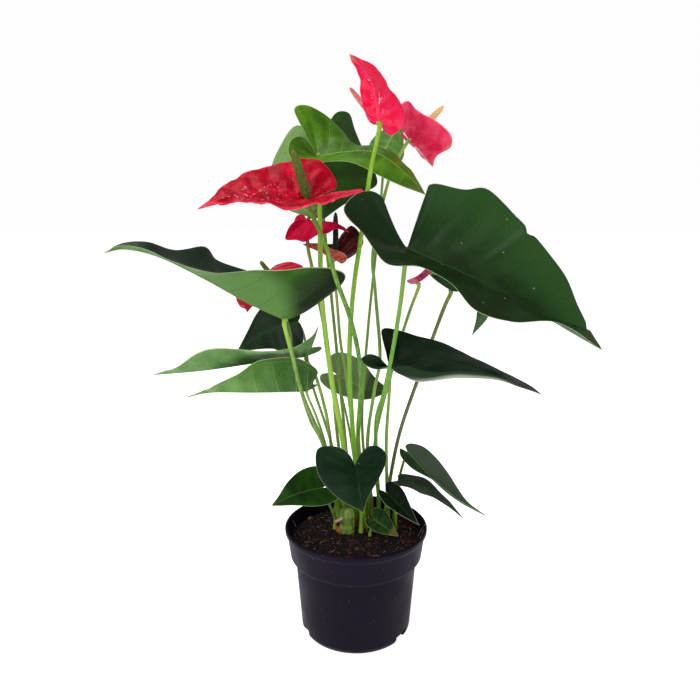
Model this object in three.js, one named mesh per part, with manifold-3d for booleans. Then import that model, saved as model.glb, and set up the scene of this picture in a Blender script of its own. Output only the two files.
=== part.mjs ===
// A potted anthurium: seventeen heart-shaped leaves and seven flowers on stalks of their own,
// growing from one crown in a nursery pot. Millimetres, +Z up, X to the right, Y to the back.
// The origin is the centre of the pot's underside.
import * as THREE from "three";
import { mergeVertices } from "three/addons/utils/BufferGeometryUtils.js";
import Module from "manifold-3d";

const wasm = await Module();
wasm.setup();

// ---------------------------------------------------------------- driving dimensions (mm)
const GAP = 0.3; // clearance between pieces that touch on the real plant

const POT = {
  height: 101,
  rimRadius: 65,
  rimLip: 2.4,
  collarFoot: 73,
  collarFootRadius: 60,
  neckHeight: 70.5,
  neckRadius: 55.6,
  footHeight: 4,
  baseRadius: 50.4,
  footRadius: 47.6,
  footRingRadius: 43,
  underside: 2.2,
  bossRadius: 12,
  wall: 1.4,
  floor: 3.6,
  segments: 48,
};
const NOTCH = { width: 16, height: 8.5, depth: 12, angles: [-35, -157, 85] };
const DRAIN = { radius: 4, ringRadius: 28, count: 6, sides: 12 };
const SOIL = { top: 90, flatRadius: 52, edgeDrop: 2 };

const BLADE = { columns: 3, thickness: 0.9, ribSamples: 40, veinStart: 0.3, veinSweep: 1.4, cup: 1.4 };
const STALK = { sides: 6, stepLength: 30, knee: 9, riser: 20, bendShare: 0.3 };
const SPADIX = { sides: 8, knots: 6, neck: 0.4, taper: 0.5 };
const CROWN = { x: -8, y: 7, height: 22, radius: 6.5, shoulderHeight: 18, topRadius: 4.5, sides: 12 };
const STUB = { radius: 2.4, length: 13, sides: 8, tilt: 115, back: 2, up: 16.5 };
const SHEATH = { x: 13.5, y: 7.5, height: 17, radius: 4.4, wall: 0.8, opening: 1.6, segments: 10 };

const COLOUR = {
  darkLeaf: "#26401f",
  midLeaf: "#47722f",
  brightLeaf: "#70983f",
  stalk: "#7f9a3c",
  paleStalk: "#93b04a",
  spathe: "#d0102f",
  paleSpathe: "#c72c42",
  oldSpathe: "#6d1524",
  greenSpadix: "#5c6a2e",
  yellowSpadix: "#dcae52",
  pinkSpadix: "#d98a8a",
  darkSpadix: "#2c3528",
  pot: "#241d2a",
  soil: "#37201a",
  crown: "#86a046",
  sheath: "#9a5a2c",
};
const ROUGHNESS = {
  leaf: 0.35,
  spathe: 0.2,
  stalk: 0.5,
  spadix: 0.6,
  pot: 0.5,
  soil: 0.95,
  crown: 0.6,
  sheath: 0.9,
};

// --------------------------------------------------------------------------------- leaves
// A margin runs from the sinus, where the stalk meets the blade, round the basal lobe to the
// tip. Its points are [along the midrib, out from it, rise above it], in blade lengths.

/** The margin of a plain half blade; a spathe is fuller towards the tip than a leaf. */
function plainSide(width, rise = 0.05, lobe = 0.26, fullness = 0) {
  return [
    [-0.6 * lobe, 0.1 * width, 0.1 * rise],
    [-lobe, 0.42 * width, 0.5 * rise],
    [-0.75 * lobe, 0.8 * width, rise],
    [0.04, width, rise],
    [0.3 + 0.4 * fullness, 0.93 * width, 0.9 * rise],
    [0.56 + 0.5 * fullness, 0.66 * width, 0.5 * rise],
    [0.8 + 0.3 * fullness, 0.3 * width, 0.1 * rise],
  ];
}

// rib: the midrib from stalk to tip. up: the way the upper face looks at the stalk.
// left and right: the margins, seen from above with the tip ahead.
// stalk: its root on the soil, its radius and the points it passes on the way up.
const LEAVES = [
  {
    name: "leaf_right_large",
    colour: COLOUR.darkLeaf,
    rib: [[38, -60, 356], [76, -80, 340], [109, -97, 325], [168, -125, 291]],
    up: [0.13, -0.44, 0.89],
    left: [
      [-0.03, 0.1, 0.1], [-0.05, 0.2, 0.2], [-0.05, 0.27, 0.23], [0.08, 0.37, 0.21],
      [0.18, 0.45, 0.22], [0.37, 0.43, 0.17], [0.58, 0.37, 0.13], [0.77, 0.27, 0.08],
      [0.87, 0.15, 0.04], [0.95, 0.06, 0.01],
    ],
    right: [
      [-0.2, -0.05, 0.17], [-0.28, 0.04, 0.2], [-0.27, 0.19, 0.16],
      [-0.1, 0.26, 0.13], [0.06, 0.31, 0.08], [0.22, 0.28, 0.11], [0.42, 0.27, 0.09],
      [0.61, 0.27, 0.03], [0.74, 0.22, 0.03], [0.86, 0.09, 0.06],
    ],
    stalk: {
      root: [22, 26],
      radius: 2.2,
      via: [[18, 10, 191], [24, -16, 231], [29, -38, 270], [34, -50, 311]],
    },
  },
  {
    name: "leaf_left_large",
    colour: COLOUR.midLeaf,
    rib: [
      [-56, -50, 300], [-83, -54, 313], [-117, -58, 333],
      [-150, -62, 350], [-175, -64, 356], [-191, -66, 353],
    ],
    up: [0.38, 0.35, 0.86],
    left: [
      [-0.06, 0.02, 0.08], [-0.13, 0.08, 0.16], [-0.18, 0.18, 0.27], [-0.15, 0.26, 0.3],
      [-0.02, 0.31, 0.26], [0.11, 0.32, 0.19], [0.25, 0.32, 0.11], [0.38, 0.22, 0],
      [0.54, 0.14, -0.02], [0.7, 0.09, 0],
    ],
    right: [
      [-0.04, 0.04, 0.08], [-0.06, 0.13, 0.17], [-0.02, 0.26, 0.25], [0.06, 0.4, 0.3],
      [0.16, 0.5, 0.29], [0.28, 0.53, 0.26], [0.4, 0.51, 0.22], [0.47, 0.43, 0.24],
      [0.57, 0.32, 0.13], [0.71, 0.11, 0.08], [0.84, 0.05, 0.04],
    ],
    stalk: { root: [-11, 18], radius: 2.4, via: [[-29, 9, 173], [-46, -13, 226], [-53, -32, 266]] },
  },
  {
    name: "leaf_top_bright",
    colour: COLOUR.brightLeaf,
    rib: [[-32, 2, 427], [-9, -8, 430], [14, -18, 429], [34, -26, 416], [54, -30, 396]],
    up: [-0.32, -0.43, 0.85],
    left: [
      [-0.1, 0.12, 0.17], [-0.19, 0.25, 0.34], [-0.12, 0.34, 0.33],
      [0, 0.41, 0.18], [0.1, 0.43, 0], [0.18, 0.39, -0.12], [0.36, 0.34, -0.15],
      [0.62, 0.24, -0.13], [0.82, 0.15, -0.07],
    ],
    right: [
      [-0.08, 0, 0.2], [-0.13, 0.15, 0.23], [-0.1, 0.28, 0.17],
      [0.02, 0.31, 0.1], [0.3, 0.28, 0.06], [0.55, 0.26, 0.02], [0.8, 0.17, 0],
    ],
    stalk: {
      root: [-2, 24],
      radius: 2.8,
      via: [[-13, 16, 181], [-22, 8, 237], [-29, -10, 308], [-30, -16, 362]],
    },
  },
  {
    name: "leaf_top_rear",
    colour: COLOUR.darkLeaf,
    rib: [[-34, 48, 439], [-31, 44, 409], [-29, 36, 375]],
    up: [0.04, -0.99, 0.14],
    left: [
      [-0.26, 0.17, -0.02], [-0.42, 0.3, -0.02], [-0.4, 0.47, -0.04], [-0.19, 0.53, -0.1],
      [0.06, 0.61, -0.13], [0.34, 0.72, -0.13], [0.56, 0.77, -0.11], [0.68, 0.57, -0.05],
      [0.83, 0.27, -0.02],
    ],
    right: [
      [-0.23, 0.11, -0.01], [-0.29, 0.3, -0.04], [-0.05, 0.52, -0.12], [0.21, 0.66, -0.13],
      [0.56, 0.7, -0.11], [0.81, 0.52, -0.09], [0.93, 0.26, -0.04],
    ],
    stalk: {
      root: [-5, 36],
      radius: 1.7,
      via: [[-12, 42, 190], [-20, 48, 275], [-28, 56, 357], [-33, 62, 410]],
    },
  },
  {
    name: "leaf_top_small",
    colour: COLOUR.midLeaf,
    rib: [[25, 60, 434], [32, 60, 447], [43, 58, 463]],
    up: [0.05, 1, -0.03],
    left: plainSide(0.52, 0.08),
    right: plainSide(0.44, 0.08),
    stalk: {
      root: [12, 42],
      radius: 1.5,
      via: [[6, 41, 188], [11, 42, 273], [20, 46, 365], [24, 48, 415]],
    },
  },
  {
    name: "leaf_left_upper",
    colour: COLOUR.midLeaf,
    rib: [[-45, 10, 257], [-81, 2, 254], [-130, -10, 249], [-173, -20, 247]],
    up: [-0.14, 0.31, 0.94],
    left: [
      [-0.06, 0.07, 0.08], [-0.09, 0.16, 0.17], [-0.02, 0.22, 0.09], [0.13, 0.28, 0.03],
      [0.34, 0.3, 0.03], [0.56, 0.26, 0.09], [0.7, 0.2, 0.09], [0.84, 0.1, 0.03],
    ],
    right: [
      [-0.09, 0.02, 0.02], [-0.13, 0.09, 0.05], [-0.05, 0.16, 0.07], [0.25, 0.2, 0.08],
      [0.56, 0.18, 0.07], [0.83, 0.08, 0.03],
    ],
    stalk: { root: [-16, 28], radius: 1.8, via: [[-23, 18, 171], [-28, 16, 205], [-37, 12, 240]] },
  },
  {
    name: "leaf_left_lower",
    colour: COLOUR.brightLeaf,
    rib: [[-44, 10, 225], [-89, 2, 226], [-127, -6, 228], [-149, -10, 224]],
    up: [-0.07, 0.43, 0.9],
    left: [
      [-0.08, 0.14, 0.11], [0, 0.27, 0.17], [0.12, 0.36, 0.2],
      [0.35, 0.38, 0.17], [0.5, 0.28, 0.07], [0.73, 0.09, 0],
    ],
    right: [
      [-0.05, 0.02, 0.03], [-0.11, 0.13, 0.07], [0, 0.28, 0.11], [0.28, 0.32, 0.1],
      [0.6, 0.2, 0.04],
    ],
    stalk: { root: [-18, 38], radius: 1.5, via: [[-28, 28, 165], [-36, 20, 196]] },
  },
  {
    name: "leaf_left_rear",
    colour: COLOUR.darkLeaf,
    rib: [[-56, 68, 277], [-83, 72, 269], [-116, 72, 247]],
    up: [-0.28, -0.8, 0.53],
    left: plainSide(0.5, 0.1, 0.08),
    right: plainSide(0.5, 0.1, 0.08),
    stalk: { root: [-9, 47], radius: 1.5, via: [[-28, 50, 176], [-43, 58, 222], [-50, 77, 260]] },
  },
  {
    name: "leaf_right_middle",
    colour: COLOUR.darkLeaf,
    rib: [[30, 19, 245], [64, 6, 254], [106, -8, 249], [159, -18, 229]],
    up: [-0.31, -0.13, 0.94],
    left: [
      [-0.01, 0.03, 0.05], [-0.01, 0.07, 0.13], [-0.02, 0.14, 0.22], [0.09, 0.23, 0.15],
      [0.22, 0.27, 0.06], [0.35, 0.27, 0.01], [0.55, 0.23, -0.04], [0.76, 0.14, -0.02],
      [0.9, 0.06, 0],
    ],
    right: [
      [-0.02, 0.06, 0.1], [-0.06, 0.12, 0.16], [-0.1, 0.17, 0.16], [-0.07, 0.21, 0.13],
      [0, 0.22, 0.09], [0.1, 0.22, 0.08], [0.19, 0.28, 0.05], [0.35, 0.29, -0.01],
      [0.6, 0.21, 0.02], [0.8, 0.12, 0.04],
    ],
    stalk: { root: [30, 20], radius: 1.8, via: [[28, 17, 172], [30, 19, 215]] },
  },
  {
    name: "leaf_centre_rear",
    colour: COLOUR.brightLeaf,
    rib: [[-18, 70, 224], [9, 62, 213], [35, 58, 211]],
    up: [-0.07, -0.88, 0.48],
    left: plainSide(0.42, 0.08),
    right: plainSide(0.42, 0.06),
    stalk: { root: [3, 49], radius: 1.5, via: [[-5, 64, 163], [-14, 80, 202]] },
  },
  {
    name: "leaf_right_rear",
    colour: COLOUR.midLeaf,
    rib: [[86, 40, 312], [99, 32, 311], [110, 22, 301], [102, 10, 275]],
    up: [0.1, -0.6, 0.8],
    left: [
      [-0.16, 0.09, 0.06], [-0.37, 0.1, 0.15], [-0.52, 0.13, 0.29], [-0.32, 0.21, 0.27],
      [-0.11, 0.27, 0.22], [0.1, 0.24, 0.14], [0.31, 0.17, 0], [0.63, 0.16, -0.06],
      [0.78, 0.19, -0.04],
    ],
    right: [
      [0.05, 0.03, -0.01], [0.18, 0.05, 0], [0.36, 0.03, 0.01], [0.58, 0.06, -0.01],
      [0.76, 0.03, -0.03], [0.88, 0.01, 0],
    ],
    stalk: { root: [30, 32], radius: 1.8, via: [[41, 42, 170], [61, 51, 230], [80, 46, 290]] },
  },
  {
    name: "leaf_front_heart",
    colour: COLOUR.darkLeaf,
    rib: [[-1, -14, 163], [2, -28, 148], [6, -36, 128]],
    up: [-0.05, -0.73, 0.68],
    left: [
      [-0.14, 0.09, 0.07], [-0.29, 0.3, 0.17], [-0.31, 0.52, 0.14], [-0.14, 0.68, 0.07],
      [0.06, 0.64, 0], [0.43, 0.4, -0.04], [0.76, 0.13, -0.01],
    ],
    right: [
      [-0.18, 0.07, 0.1], [-0.36, 0.23, 0.17], [-0.46, 0.5, 0.18], [-0.42, 0.75, 0.14],
      [-0.05, 0.81, 0.03], [0.33, 0.68, -0.06], [0.7, 0.38, -0.02], [0.87, 0.14, 0.04],
    ],
    stalk: { root: [5, 4], radius: 1.8, via: [[0, 2, 140]] },
  },
  {
    name: "leaf_low_left",
    colour: COLOUR.brightLeaf,
    rib: [[-31, 5, 134], [-53, -4, 132], [-76, -12, 124]],
    up: [0.1, -0.42, 0.9],
    left: plainSide(0.42, 0.02),
    right: plainSide(0.46, 0.12),
    stalk: { root: [-20, 12], radius: 1.4, via: [] },
  },
  {
    name: "leaf_low_right",
    colour: COLOUR.darkLeaf,
    rib: [[49, 24, 161], [70, 11, 141], [92, -1, 125], [118, -11, 113]],
    up: [0.55, -0.31, 0.78],
    left: [
      [-0.07, 0.03, 0], [-0.06, 0.12, 0.03], [0.05, 0.22, 0.05], [0.26, 0.25, 0.06],
      [0.49, 0.19, 0.04], [0.75, 0.11, -0.01],
    ],
    right: [
      [-0.08, 0.07, 0.01], [0, 0.15, -0.01], [0.12, 0.16, 0], [0.28, 0.14, 0.05],
      [0.44, 0.11, 0.07], [0.71, 0.06, 0.05],
    ],
    stalk: { root: [37, 24], radius: 1.6, via: [[42, 31, 135]] },
  },
  {
    name: "leaf_low_right_narrow",
    colour: COLOUR.darkLeaf,
    rib: [[41, 19, 135], [64, 13, 134], [83, 5, 120], [100, 1, 104]],
    up: [-0.06, -0.11, 0.99],
    left: [
      [-0.04, 0.06, 0.04], [0.04, 0.17, 0.02], [0.24, 0.19, -0.02], [0.48, 0.12, -0.02],
      [0.71, 0.08, -0.01],
    ],
    right: [
      [-0.09, 0.07, 0.01], [-0.08, 0.14, 0.01], [0.11, 0.21, 0.03], [0.34, 0.2, -0.03],
      [0.55, 0.14, 0.01], [0.74, 0.07, 0.02],
    ],
    stalk: { root: [37, 10], radius: 1.4, via: [] },
  },
  {
    name: "leaf_rim_right",
    colour: COLOUR.darkLeaf,
    rib: [[30, -3, 130], [41, -8, 120], [57, -14, 106]],
    up: [0.38, -0.57, 0.73],
    left: plainSide(0.36, 0.08),
    right: plainSide(0.3, 0.05),
    stalk: { root: [27, 12], radius: 1.4, via: [] },
  },
  {
    name: "leaf_rim_small",
    colour: COLOUR.brightLeaf,
    rib: [[17, 0, 105], [27, -4, 99], [39, -8, 92]],
    up: [0.05, -0.79, 0.61],
    left: plainSide(0.44, 0.05),
    right: plainSide(0.36, 0.05),
    stalk: { root: [13, -3], radius: 1.2, via: [] },
  },
];

// -------------------------------------------------------------------------------- flowers
// Each is a leaf-like spathe with a spadix; tip: where the spadix ends.
const FLOWERS = [
  {
    name: "flower_top",
    colour: COLOUR.spathe,
    rib: [[16, -32, 450], [14, -40, 463], [9, -50, 479], [-6, -62, 494]],
    up: [-0.35, 0.84, 0.41],
    left: [
      [-0.11, 0.06, 0], [-0.22, 0.16, -0.02], [-0.22, 0.33, 0.07], [-0.09, 0.45, 0.17],
      [0.1, 0.46, 0.28], [0.28, 0.36, 0.31], [0.5, 0.26, 0.29], [0.73, 0.14, 0.23], [0.9, 0.05, 0.08],
    ],
    right: [
      [-0.02, 0.05, 0.02], [0.04, 0.1, 0.07], [0.2, 0.13, 0.14], [0.44, 0.13, 0.16],
      [0.71, 0.09, 0.12], [0.9, 0.03, 0.04],
    ],
    stalk: {
      root: [7, 24],
      radius: 2.4,
      via: [
        [-2, 20, 174], [-6, 6, 253], [-3, -10, 314], [4, -28, 367], [10, -43, 412], [14.5, -42, 434],
      ],
    },
    spadix: { tip: [-6, -19, 478], radius: 2.4, colour: COLOUR.pinkSpadix },
  },
  {
    name: "flower_top_right",
    colour: COLOUR.paleSpathe,
    rib: [[45, 20, 441], [54, 16, 433], [64, 10, 419]],
    up: [0.69, 0.41, 0.6],
    left: [[-0.36, 0.18, 0.15], [-0.45, 0.37, 0.16], [-0.11, 0.52, 0.28], [0.53, 0.35, 0.1]],
    right: [
      [-0.34, 0.2, 0], [-0.73, 0.48, 0.27], [-0.65, 0.63, 0.5], [-0.27, 0.64, 0.46],
      [0.3, 0.78, 0.45], [0.8, 0.86, 0.5], [1, 0.66, 0.4], [0.9, 0.35, 0.12],
    ],
    stalk: {
      root: [15, 32],
      radius: 1.8,
      via: [[11, 30, 168], [17, 30, 219], [22, 30, 252], [17, 28, 313], [15, 26, 349], [28, 22, 409]],
    },
    spadix: { tip: [75, 34, 471], radius: 3, colour: COLOUR.yellowSpadix },
  },
  {
    name: "flower_front",
    colour: COLOUR.spathe,
    rib: [[-36, -82, 393], [-58, -92, 393], [-81, -102, 393], [-109, -112, 386]],
    up: [0.16, -0.37, 0.91],
    left: [
      [-0.17, 0.08, 0.08], [-0.38, 0.27, 0.21], [-0.25, 0.39, 0.21], [0, 0.47, 0.18],
      [0.2, 0.49, 0.14], [0.36, 0.49, 0.12], [0.55, 0.42, 0.12], [0.71, 0.31, 0.11], [0.89, 0.15, 0.08],
    ],
    right: [
      [-0.29, 0.07, 0.06], [-0.3, 0.18, 0.15], [-0.2, 0.34, 0.23],
      [-0.05, 0.41, 0.22], [0.1, 0.44, 0.16], [0.27, 0.47, 0.11], [0.45, 0.44, 0.07],
      [0.6, 0.37, 0.04], [0.75, 0.25, 0.02], [0.87, 0.1, 0.02],
    ],
    stalk: {
      root: [8, 15],
      radius: 2.2,
      via: [[2, 10, 178], [4, -15, 235], [1.5, -33, 268], [-6, -58, 304], [-15, -76, 332], [-24, -84, 362]],
    },
    spadix: { tip: [-46, -84, 427], radius: 3.6, colour: COLOUR.greenSpadix },
  },
  {
    name: "flower_old_pink",
    colour: COLOUR.paleSpathe,
    rib: [[-42, 16, 375], [-29, 9, 374], [-16, 5, 372], [-6, 2, 365]],
    up: [0, -0.3, 0.95],
    left: [
      [-0.2, 0.12, 0.08], [-0.42, 0.2, -0.02], [-0.55, 0.24, -0.24], [-0.28, 0.36, -0.21],
      [0.09, 0.3, -0.19], [0.56, 0.17, -0.13],
    ],
    right: [
      [-0.11, 0.16, 0.06], [-0.22, 0.37, -0.03], [-0.24, 0.57, -0.26], [-0.01, 0.51, -0.27],
      [0.16, 0.48, -0.31], [0.26, 0.39, -0.27], [0.36, 0.31, -0.19], [0.53, 0.23, -0.15],
      [0.74, 0.14, -0.04],
    ],
    stalk: {
      root: [-8, 28],
      radius: 0.9,
      via: [[-17, 27, 173], [-24, 22, 252], [-37, 19, 325], [-42, 17, 352]],
    },
    spadix: { tip: [-31, 15, 388], radius: 1.5, colour: COLOUR.greenSpadix },
  },
  {
    name: "flower_old_maroon",
    colour: COLOUR.oldSpathe,
    rib: [[-18, 8, 342], [-31, 6, 349], [-46, 5, 355]],
    up: [0, -0.2, 0.98],
    left: [
      [-0.19, 0.14, 0.02], [-0.22, 0.3, 0.22], [-0.05, 0.37, 0.36], [0.28, 0.38, 0.31],
      [0.53, 0.31, 0.26], [0.82, 0.16, 0.14],
    ],
    right: [
      [-0.27, 0.2, 0.06], [-0.46, 0.38, 0.3], [-0.53, 0.44, 0.7], [-0.26, 0.56, 0.9],
      [-0.02, 0.65, 0.92], [0.06, 0.66, 0.72], [0.08, 0.62, 0.45], [0.24, 0.5, 0.24],
      [0.58, 0.23, 0.14], [0.87, 0.12, 0.06],
    ],
    stalk: {
      root: [4, 39],
      radius: 1.6,
      via: [[-2, 32, 170], [-9, 24, 234], [-14, 18, 268], [-17, 12, 307]],
    },
    spadix: { tip: [-18, 21, 382], radius: 1.5, colour: COLOUR.darkSpadix },
  },
  {
    name: "flower_left_rear",
    colour: COLOUR.paleSpathe,
    rib: [[-80, 44, 328], [-91, 36, 310], [-99, 32, 292]],
    up: [-0.23, -0.77, 0.59],
    left: [
      [-0.22, 0.05, -0.05], [-0.41, 0.22, -0.12], [-0.48, 0.41, -0.21], [-0.45, 0.55, -0.24],
      [-0.14, 0.54, -0.26], [0.4, 0.35, -0.22], [0.74, 0.09, -0.05],
    ],
    right: [
      [0.1, 0.1, 0.01], [0.28, 0.27, 0.08], [0.51, 0.35, 0.14], [0.78, 0.3, 0.15],
      [0.93, 0.17, 0.08], [0.94, 0.05, 0.04],
    ],
    stalk: {
      root: [-20, 47],
      radius: 1,
      via: [[-32, 47, 160], [-44, 47, 186], [-54, 48, 221], [-59, 37, 256], [-62, 43, 277]],
    },
    spadix: { tip: [-87, 41, 338], radius: 2.1, colour: COLOUR.greenSpadix },
  },
  {
    name: "flower_right_rear",
    colour: COLOUR.paleSpathe,
    rib: [[54, 30, 319], [61, 28, 324], [71, 27, 333]],
    up: [-0.4, -0.3, 0.85],
    left: [
      [-0.16, 0.12, 0.06], [-0.26, 0.19, 0.2], [0.05, 0.22, 0.07], [0.56, 0.22, 0.11],
      [0.89, 0.16, 0.11],
    ],
    right: [
      [-0.17, 0.1, 0.14], [-0.21, 0.13, 0.4], [0.19, 0.16, 0.32], [0.59, 0.09, 0.32],
      [0.9, 0.04, 0.25],
    ],
    stalk: { root: [22, 39], radius: 1.6, via: [[19, 42, 169], [40, 60, 250], [50, 50, 290]] },
    spadix: { tip: [68, 28, 335], radius: 0.8, colour: COLOUR.greenSpadix },
  },
];

// ---------------------------------------------------------------------------- small helpers
const vector = ([x, y, z]) => new THREE.Vector3(x, y, z);

/** A smooth open curve through the given points. */
const curveThrough = (points) => new THREE.CatmullRomCurve3(points, false, "catmullrom", 0.5);

/** A geometry from plain vertex and triangle lists. */
function geometryFrom(vertices, triangles) {
  const geometry = new THREE.BufferGeometry();
  geometry.setAttribute("position", new THREE.Float32BufferAttribute(vertices.flat(), 3));
  geometry.setIndex(triangles.flat());
  return geometry;
}

/** A manifold solid from a closed geometry, so that it can be cut or joined. */
function toSolid(geometry) {
  const bare = geometry.clone();
  bare.deleteAttribute("normal");
  bare.deleteAttribute("uv");
  const merged = mergeVertices(bare, 1e-4);
  const vertProperties = Float32Array.from(merged.attributes.position.array);
  const corners = merged.index.array;
  const kept = [];
  for (let i = 0; i < corners.length; i += 3) {
    const [a, b, c] = corners.slice(i, i + 3);
    if (a !== b && b !== c && c !== a) kept.push(a, b, c);
  }
  return new wasm.Manifold(new wasm.Mesh({ numProp: 3, vertProperties, triVerts: Uint32Array.from(kept) }));
}

/** A geometry from a manifold solid. */
function fromSolid(solid) {
  const mesh = solid.getMesh();
  const geometry = new THREE.BufferGeometry();
  geometry.setAttribute("position", new THREE.BufferAttribute(Float32Array.from(mesh.vertProperties), 3));
  geometry.setIndex(new THREE.BufferAttribute(Uint32Array.from(mesh.triVerts), 1));
  return geometry;
}

/** A named mesh with the finish of its part. */
function piece(name, geometry, colour, roughness) {
  const material = new THREE.MeshStandardMaterial({ color: colour, roughness, metalness: 0 });
  const mesh = new THREE.Mesh(geometry, material);
  mesh.name = name;
  return mesh;
}

// ------------------------------------------------------------------------ blades and stalks
/** Midrib curve with the upper-face direction carried along it without turning. */
function ribFrame(spec) {
  const samples = BLADE.ribSamples;
  const curve = curveThrough(spec.rib.map(vector));
  const normals = [];
  let normal = vector(spec.up);
  for (let i = 0; i <= samples; i += 1) {
    const tangent = curve.getTangent(i / samples);
    normal = normal.clone().addScaledVector(tangent, -normal.dot(tangent)).normalize();
    normals.push(normal);
  }
  const span = vector(spec.rib[0]).distanceTo(vector(spec.rib.at(-1)));
  const at = (x) => {
    const along = THREE.MathUtils.clamp(x, 0, 1);
    const tangent = curve.getTangent(along);
    const low = Math.min(Math.floor(along * samples), samples - 1);
    const up = normals[low].clone().lerp(normals[low + 1], along * samples - low);
    up.addScaledVector(tangent, -up.dot(tangent)).normalize();
    return { point: curve.getPoint(along), tangent, up, side: tangent.clone().cross(up) };
  };
  return { span, at };
}

/** A point of the blade's middle surface; turn is -1 on the left half and +1 on the right. */
function bladePoint(frame, margin, turn, s, t) {
  const [along, across, rise] = margin.getPoint(s).toArray();
  const swept = Math.max(s - BLADE.veinStart, 0) / (1 - BLADE.veinStart);
  const root = swept ** BLADE.veinSweep;
  const x = root + (along - root) * t;
  const { point, tangent, up, side } = frame.at(x);
  return point
    .addScaledVector(tangent, Math.min(x, 0) * frame.span)
    .addScaledVector(side, turn * across * t * frame.span)
    .addScaledVector(up, rise * t ** BLADE.cup * frame.span);
}

/** Triangles of the blade's middle surface, with coinciding points shared. */
function bladeSheet(spec, frame) {
  const ends = [[0, 0, 0], [1, 0, 0]];
  const [left, right] = [spec.left, spec.right].map((side) =>
    curveThrough([ends[0], ...side, ends[1]].map(vector)));
  const vertices = [];
  const known = new Map();
  const indexOf = (point) => {
    const key = point.toArray().map((value) => value.toFixed(3)).join();
    if (!known.has(key)) known.set(key, vertices.push(point) - 1);
    return known.get(key);
  };
  const rows = [];
  const count = Math.max(spec.left.length, spec.right.length) + 1;
  for (let i = 1; i <= count; i += 1) {
    const row = [];
    for (let j = -BLADE.columns; j <= BLADE.columns; j += 1) {
      const [margin, turn] = j < 0 ? [left, -1] : [right, 1];
      row.push(indexOf(bladePoint(frame, margin, turn, i / count, Math.abs(j) / BLADE.columns)));
    }
    rows.push(row);
  }
  const triangles = [];
  const add = (a, b, c) => {
    if (a !== b && b !== c && c !== a) triangles.push([a, b, c]);
  };
  for (let i = 0; i < count - 1; i += 1) {
    for (let j = 0; j < 2 * BLADE.columns; j += 1) {
      const [a, b, c, d] = [rows[i][j], rows[i][j + 1], rows[i + 1][j + 1], rows[i + 1][j]];
      add(a, b, c);
      add(a, c, d);
    }
  }
  return { vertices, triangles };
}

/** A closed shell of even thickness round a sheet of triangles. */
function thicken({ vertices, triangles }, thickness) {
  const normals = vertices.map(() => new THREE.Vector3());
  const edges = new Map();
  for (const triangle of triangles) {
    const [a, b, c] = triangle.map((index) => vertices[index]);
    const normal = b.clone().sub(a).cross(c.clone().sub(a));
    triangle.forEach((index) => normals[index].add(normal));
    triangle.forEach((from, k) => {
      const to = triangle[(k + 1) % 3];
      edges.set(`${from},${to}`, [from, to]);
    });
  }
  normals.forEach((normal) => normal.setLength(thickness / 2));
  const shifted = (sign) => vertices.map((v, i) => v.clone().addScaledVector(normals[i], sign).toArray());
  const count = vertices.length;
  const faces = [...triangles, ...triangles.map(([a, b, c]) => [a + count, c + count, b + count])];
  for (const [from, to] of edges.values()) {
    if (edges.has(`${to},${from}`)) continue;
    faces.push([to, from, from + count], [to, from + count, to + count]);
  }
  return geometryFrom([...shifted(1), ...shifted(-1)], faces);
}

/** A stalk from the soil to just under the blade, meeting it square through a short knee. */
function stalkGeometry(spec, frame) {
  const { root, radius, via } = spec.stalk;
  const { point: base, up } = frame.at(0);
  const foot = new THREE.Vector3(root[0], root[1], SOIL.top + GAP);
  const shortBend = STALK.bendShare * (base.z - foot.z);
  const riser = foot.clone().setZ(foot.z + Math.min(STALK.riser, shortBend));
  const head = base.clone().addScaledVector(up, -(BLADE.thickness / 2 + GAP));
  const knee = base.clone().addScaledVector(up, -Math.min(STALK.knee, shortBend));
  const path = curveThrough([foot, riser, ...via.map(vector), knee, head]);
  const section = new THREE.Shape(
    Array.from({ length: STALK.sides }, (_, i) => {
      const angle = (2 * Math.PI * i) / STALK.sides;
      return new THREE.Vector2(radius * Math.cos(angle), radius * Math.sin(angle));
    }));
  const steps = Math.round(path.getLength() / STALK.stepLength) + 2;
  return new THREE.ExtrudeGeometry(section, { steps, extrudePath: path, bevelEnabled: false });
}

/** A blunt tapering spadix standing just clear of the spathe. */
function spadixGeometry(spec, frame) {
  const { tip, radius } = spec.spadix;
  const { point: base, up } = frame.at(0);
  const lean = vector(tip).sub(base).normalize();
  const slant = Math.sqrt(1 - Math.min(1, lean.dot(up)) ** 2);
  const neck = SPADIX.neck * radius;
  const foot = base.clone().addScaledVector(up, BLADE.thickness / 2 + 2 * GAP + neck * slant);
  const length = foot.distanceTo(vector(tip));
  const profile = [new THREE.Vector2(0, 0), new THREE.Vector2(neck, 0)];
  for (let i = 1; i < SPADIX.knots; i += 1) {
    const h = i / SPADIX.knots;
    const width = radius * Math.sqrt(1 - h ** 3) * (1 - SPADIX.taper * h * h);
    profile.push(new THREE.Vector2(width, h * length));
  }
  profile.push(new THREE.Vector2(0, length));
  const geometry = new THREE.LatheGeometry(profile, SPADIX.sides);
  const direction = vector(tip).sub(foot).normalize();
  const turn = new THREE.Quaternion().setFromUnitVectors(new THREE.Vector3(0, 1, 0), direction);
  return geometry.applyQuaternion(turn).translate(foot.x, foot.y, foot.z);
}

/** The blade and stalk of one leaf. */
function leafPieces(spec) {
  const frame = ribFrame(spec);
  const blade = thicken(bladeSheet(spec, frame), BLADE.thickness);
  return [
    piece(`${spec.name}_blade`, blade, spec.colour, ROUGHNESS.leaf),
    piece(`${spec.name}_stalk`, stalkGeometry(spec, frame), COLOUR.stalk, ROUGHNESS.stalk),
  ];
}

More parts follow.
